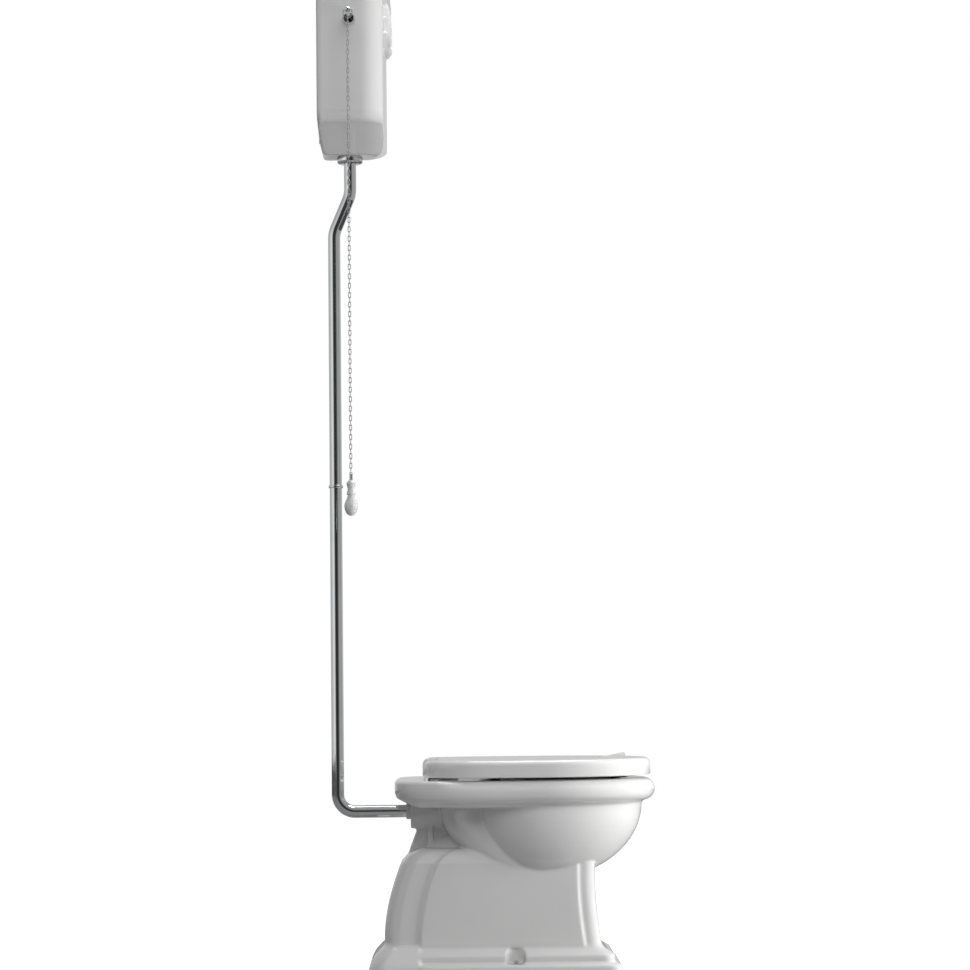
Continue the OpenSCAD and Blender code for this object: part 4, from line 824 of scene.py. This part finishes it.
def link_mesh():
    """One oblong link of round wire in the YZ plane, its top at the origin."""
    r = (LINK_W - CHAIN_WIRE) / 2
    low = -(LINK_L - LINK_W)
    turn = np.radians(np.linspace(0, 180, 9))
    line = [(r * math.cos(a), -LINK_W / 2 + r * math.sin(a)) for a in turn]
    line += [(-r * math.cos(a), -LINK_W / 2 + low - r * math.sin(a)) for a in turn]
    line = np.array(line)
    n, sides = len(line), 10
    ahead = np.roll(line, -1, 0) - np.roll(line, 1, 0)
    normal = np.column_stack([ahead[:, 1], -ahead[:, 0]])
    normal /= np.linalg.norm(normal, axis=1)[:, None]
    points = []
    for (y, z), (ny, nz) in zip(line, normal):
        for a in np.arange(sides) * 2 * np.pi / sides:
            out = CHAIN_WIRE / 2 * math.cos(a)
            points.append((CHAIN_WIRE / 2 * math.sin(a), y + out * ny, z + out * nz))
    return np.array(points), grid_faces(n, sides, wrap=True)


def chain_piece(top):
    points, faces = link_mesh()
    turned = points[:, [1, 0, 2]] * [-1, 1, 1]
    every, every_face = [], []
    for k in range(CHAIN_LINKS):
        base = k * len(points)
        every.append((turned if k % 2 else points) + [LEVER_X, TIP_Y, top - k * CHAIN_PITCH])
        every_face += [tuple(base + i for i in face) for face in faces]
    chain = make("pull_chain_round", np.concatenate(every), every_face, 80)
    return dress(chain, "pull", "chrome", chain_material(), "pull_chain")


def handle_radius(t):
    """Radius at a share t of the length from the top: collar, waisted neck, pear."""
    r, collar, neck, belly = HANDLE_R, 0.08, 0.40, 0.72
    if t < collar:
        return r * (0.36 + 0.30 * math.sin(math.pi / 2 * t / collar))
    if t < neck:
        return r * (0.585 + 0.075 * math.cos(math.pi * (t - collar) / 0.16))
    if t < belly:
        return r * (0.755 - 0.245 * math.cos(math.pi * (t - neck) / 0.32))
    return r * math.sqrt(max(0, 1 - ((t - belly) / 0.28) ** 2))


def handle_piece(top):
    steps = 90
    profile = [(0, -HANDLE_L)]
    profile += [(handle_radius(t), -HANDLE_L * t)
                for t in 1 - np.linspace(0, 1, steps) ** 1.6 if handle_radius(t) > 0.05]
    profile.append((0, 0))
    handle = lathe("pull_handle_smooth", profile, (LEVER_X, TIP_Y, top))
    stem = drill("stem", STEM_HOLE_R, STEM_L + OVERLAP, (LEVER_X, TIP_Y, top - STEM_L), sides=32)
    combine(handle, [stem], "DIFFERENCE")
    shade(handle, 45)
    return dress(handle, "pull", "china", MATERIALS["china"], "pull_handle")


# ---------- build ----------

pan_piece()
lid_piece()
seat_piece()
pipe_pieces()
cistern_piece()
cistern_lid_piece()
CHAIN_TOP = LEVER_Z - BOW_DROP - BOW_R + HOOK_WIRE + LINK_PLAY + CHAIN_WIRE
chain_piece(CHAIN_TOP)
HANDLE_TOP = CHAIN_TOP - (CHAIN_LINKS - 1) * CHAIN_PITCH - LINK_L - FERRULE_GAP - FERRULE_H
handle_piece(HANDLE_TOP - TOUCH)


# ---------- room, light and camera (metres) ----------

FLOOR_LIFT, FLOOR_HALF_SIZE = 0.96, 8


def floor():
    """Pale plain floor: white to the camera where it is lit, grey in the object's shadow."""
    mesh = bpy.data.meshes.new("floor")
    h = FLOOR_HALF_SIZE
    mesh.from_pydata([(-h, -h, 0), (h, -h, 0), (h, h, 0), (-h, h, 0)], [], [(0, 1, 2, 3)])
    obj = bpy.data.objects.new("floor", mesh)
    scene.collection.objects.link(obj)
    m = Shader("floor_white", Roughness=0.8)
    m.vary("Base Color", 2, (0.26, 0.26, 0.26), (0.29, 0.29, 0.29))
    m.shader.inputs["Emission Color"].default_value = (1, 1, 1, 1)
    path = m.tree.nodes.new("ShaderNodeLightPath")
    lift = m.tree.nodes.new("ShaderNodeMath")
    lift.operation = "MULTIPLY"
    lift.inputs[1].default_value = FLOOR_LIFT
    m.tree.links.new(path.outputs["Is Camera Ray"], lift.inputs[0])
    m.feed("Emission Strength", lift.outputs[0])
    obj.data.materials.append(m.material)


# What polished metal and glaze reflect: brightness by direction round the object, in degrees
# from the sitter's right (-Y) towards the front (+X). The dark part is the unlit studio.
REFLECTED = [(-180, 0.55), (-110, 0.5), (-85, 0.56), (-58, 0.85), (-36, 0.72), (-25, 0.1),
             (-12, 0.03), (18, 0.03), (27, 0.1), (40, 0.3), (60, 0.42), (84, 0.32), (112, 0.5),
             (180, 0.55)]
CEILING_FROM, CEILING_RATE, HIGH_REFLECTED = 0.3, 2.5, 0.34
AMBIENT, AMBIENT_COLOUR = 0.12, (0.94, 0.96, 1.0)


def world():
    w = bpy.data.worlds.new("studio")
    scene.world = w
    w.use_nodes = True
    tree = w.node_tree
    tree.nodes.clear()

    def math_node(operation, a, b):
        node = tree.nodes.new("ShaderNodeMath")
        node.operation = operation
        for socket, value in zip(node.inputs, (a, b)):
            if isinstance(value, (int, float)):
                socket.default_value = value
            else:
                tree.links.new(value, socket)
        return node.outputs[0]

    def background(colour, strength):
        node = tree.nodes.new("ShaderNodeBackground")
        node.inputs["Strength"].default_value = strength
        if isinstance(colour, tuple):
            node.inputs["Color"].default_value = (*colour, 1)
        else:
            tree.links.new(colour, node.inputs["Color"])
        return node.outputs[0]

    def mix(share, a, b):
        node = tree.nodes.new("ShaderNodeMixShader")
        for socket, value in zip(node.inputs, (share, a, b)):
            tree.links.new(value, socket)
        return node.outputs[0]

    place = tree.nodes.new("ShaderNodeTexCoord").outputs["Generated"]
    split = tree.nodes.new("ShaderNodeSeparateXYZ")
    tree.links.new(place, split.inputs[0])
    away = math_node("MULTIPLY", split.outputs["Y"], -1.0)
    turn = math_node("ARCTAN2", split.outputs["X"], away)
    share = math_node("ADD", math_node("DIVIDE", turn, 2 * math.pi), 0.5)
    ramp = tree.nodes.new("ShaderNodeValToRGB")
    items = ramp.color_ramp.elements
    while len(items) < len(REFLECTED):
        items.new(0.5)
    for item, (degrees, value) in zip(items, REFLECTED):
        item.position = degrees / 360 + 0.5
        item.color = (value, value, value, 1)
    tree.links.new(share, ramp.inputs["Fac"])
    path = tree.nodes.new("ShaderNodeLightPath")
    lit = background(AMBIENT_COLOUR, AMBIENT)
    # Overhead, the dark part gives way to the even grey of the ceiling.
    over = math_node("SUBTRACT", split.outputs["Z"], CEILING_FROM)
    rise = math_node("MULTIPLY", over, CEILING_RATE)
    above = math_node("MINIMUM", math_node("MAXIMUM", rise, 0.0), 1.0)
    ceiling = background((HIGH_REFLECTED,) * 3, 1.0)
    studio = mix(above, background(ramp.outputs["Color"], 1.0), ceiling)
    glossy = mix(path.outputs["Is Glossy Ray"], lit, studio)
    seen = math_node("MAXIMUM", path.outputs["Is Camera Ray"], path.outputs["Is Transmission Ray"])
    out = tree.nodes.new("ShaderNodeOutputWorld")
    tree.links.new(mix(seen, glossy, background((1.0, 1.0, 1.0), 1.0)), out.inputs["Surface"])


def lamp(name, place, aim, size, power, mirrored):
    """Square soft light, in metres and watts; mirrored: whether glaze and chrome show it."""
    data = bpy.data.lights.new(name, "AREA")
    data.shape, data.size, data.energy = "SQUARE", size, power
    obj = bpy.data.objects.new(name, data)
    scene.collection.objects.link(obj)
    at, to = np.array(place, float), np.array(aim, float)
    obj.location = at
    obj.visible_glossy = mirrored
    obj.rotation_euler = Vector(to - at).to_track_quat("-Z", "Y").to_euler()


CAMERA_PLACE, CAMERA_TILT, CAMERA_ROLL = (0.063, -5.5, 0.5985), 94.5, -0.6
CAMERA_SENSOR, CAMERA_LENS, CAMERA_SHIFT = 36, 96.9, 0.0362


def camera():
    """Long lens from the sitter's right, low down, tipped up to take in the cistern's foot."""
    data = bpy.data.cameras.new("camera")
    data.sensor_width, data.lens, data.shift_x = CAMERA_SENSOR, CAMERA_LENS, CAMERA_SHIFT
    obj = bpy.data.objects.new("camera", data)
    scene.collection.objects.link(obj)
    obj.location = CAMERA_PLACE
    obj.rotation_mode = "ZXY"
    obj.rotation_euler = (math.radians(CAMERA_TILT), 0, math.radians(CAMERA_ROLL))
    scene.camera = obj


floor()
world()
lamp("front_key", (2.3, -0.3, 0.6), (0.1, 0, 0.05), 1.5, 54, False)
lamp("top", (0.6, 0.3, 3.6), (0.15, 0, 0.4), 1.8, 46, True)
lamp("side_soft", (0.7, -3.6, 2.9), (0.1, 0, 0.3), 2.2, 59, False)
lamp("back_fill", (-2.4, 3.0, 2.2), (0, 0, 0.9), 2.2, 75, False)
camera()
scene.view_settings.view_transform = "Standard"
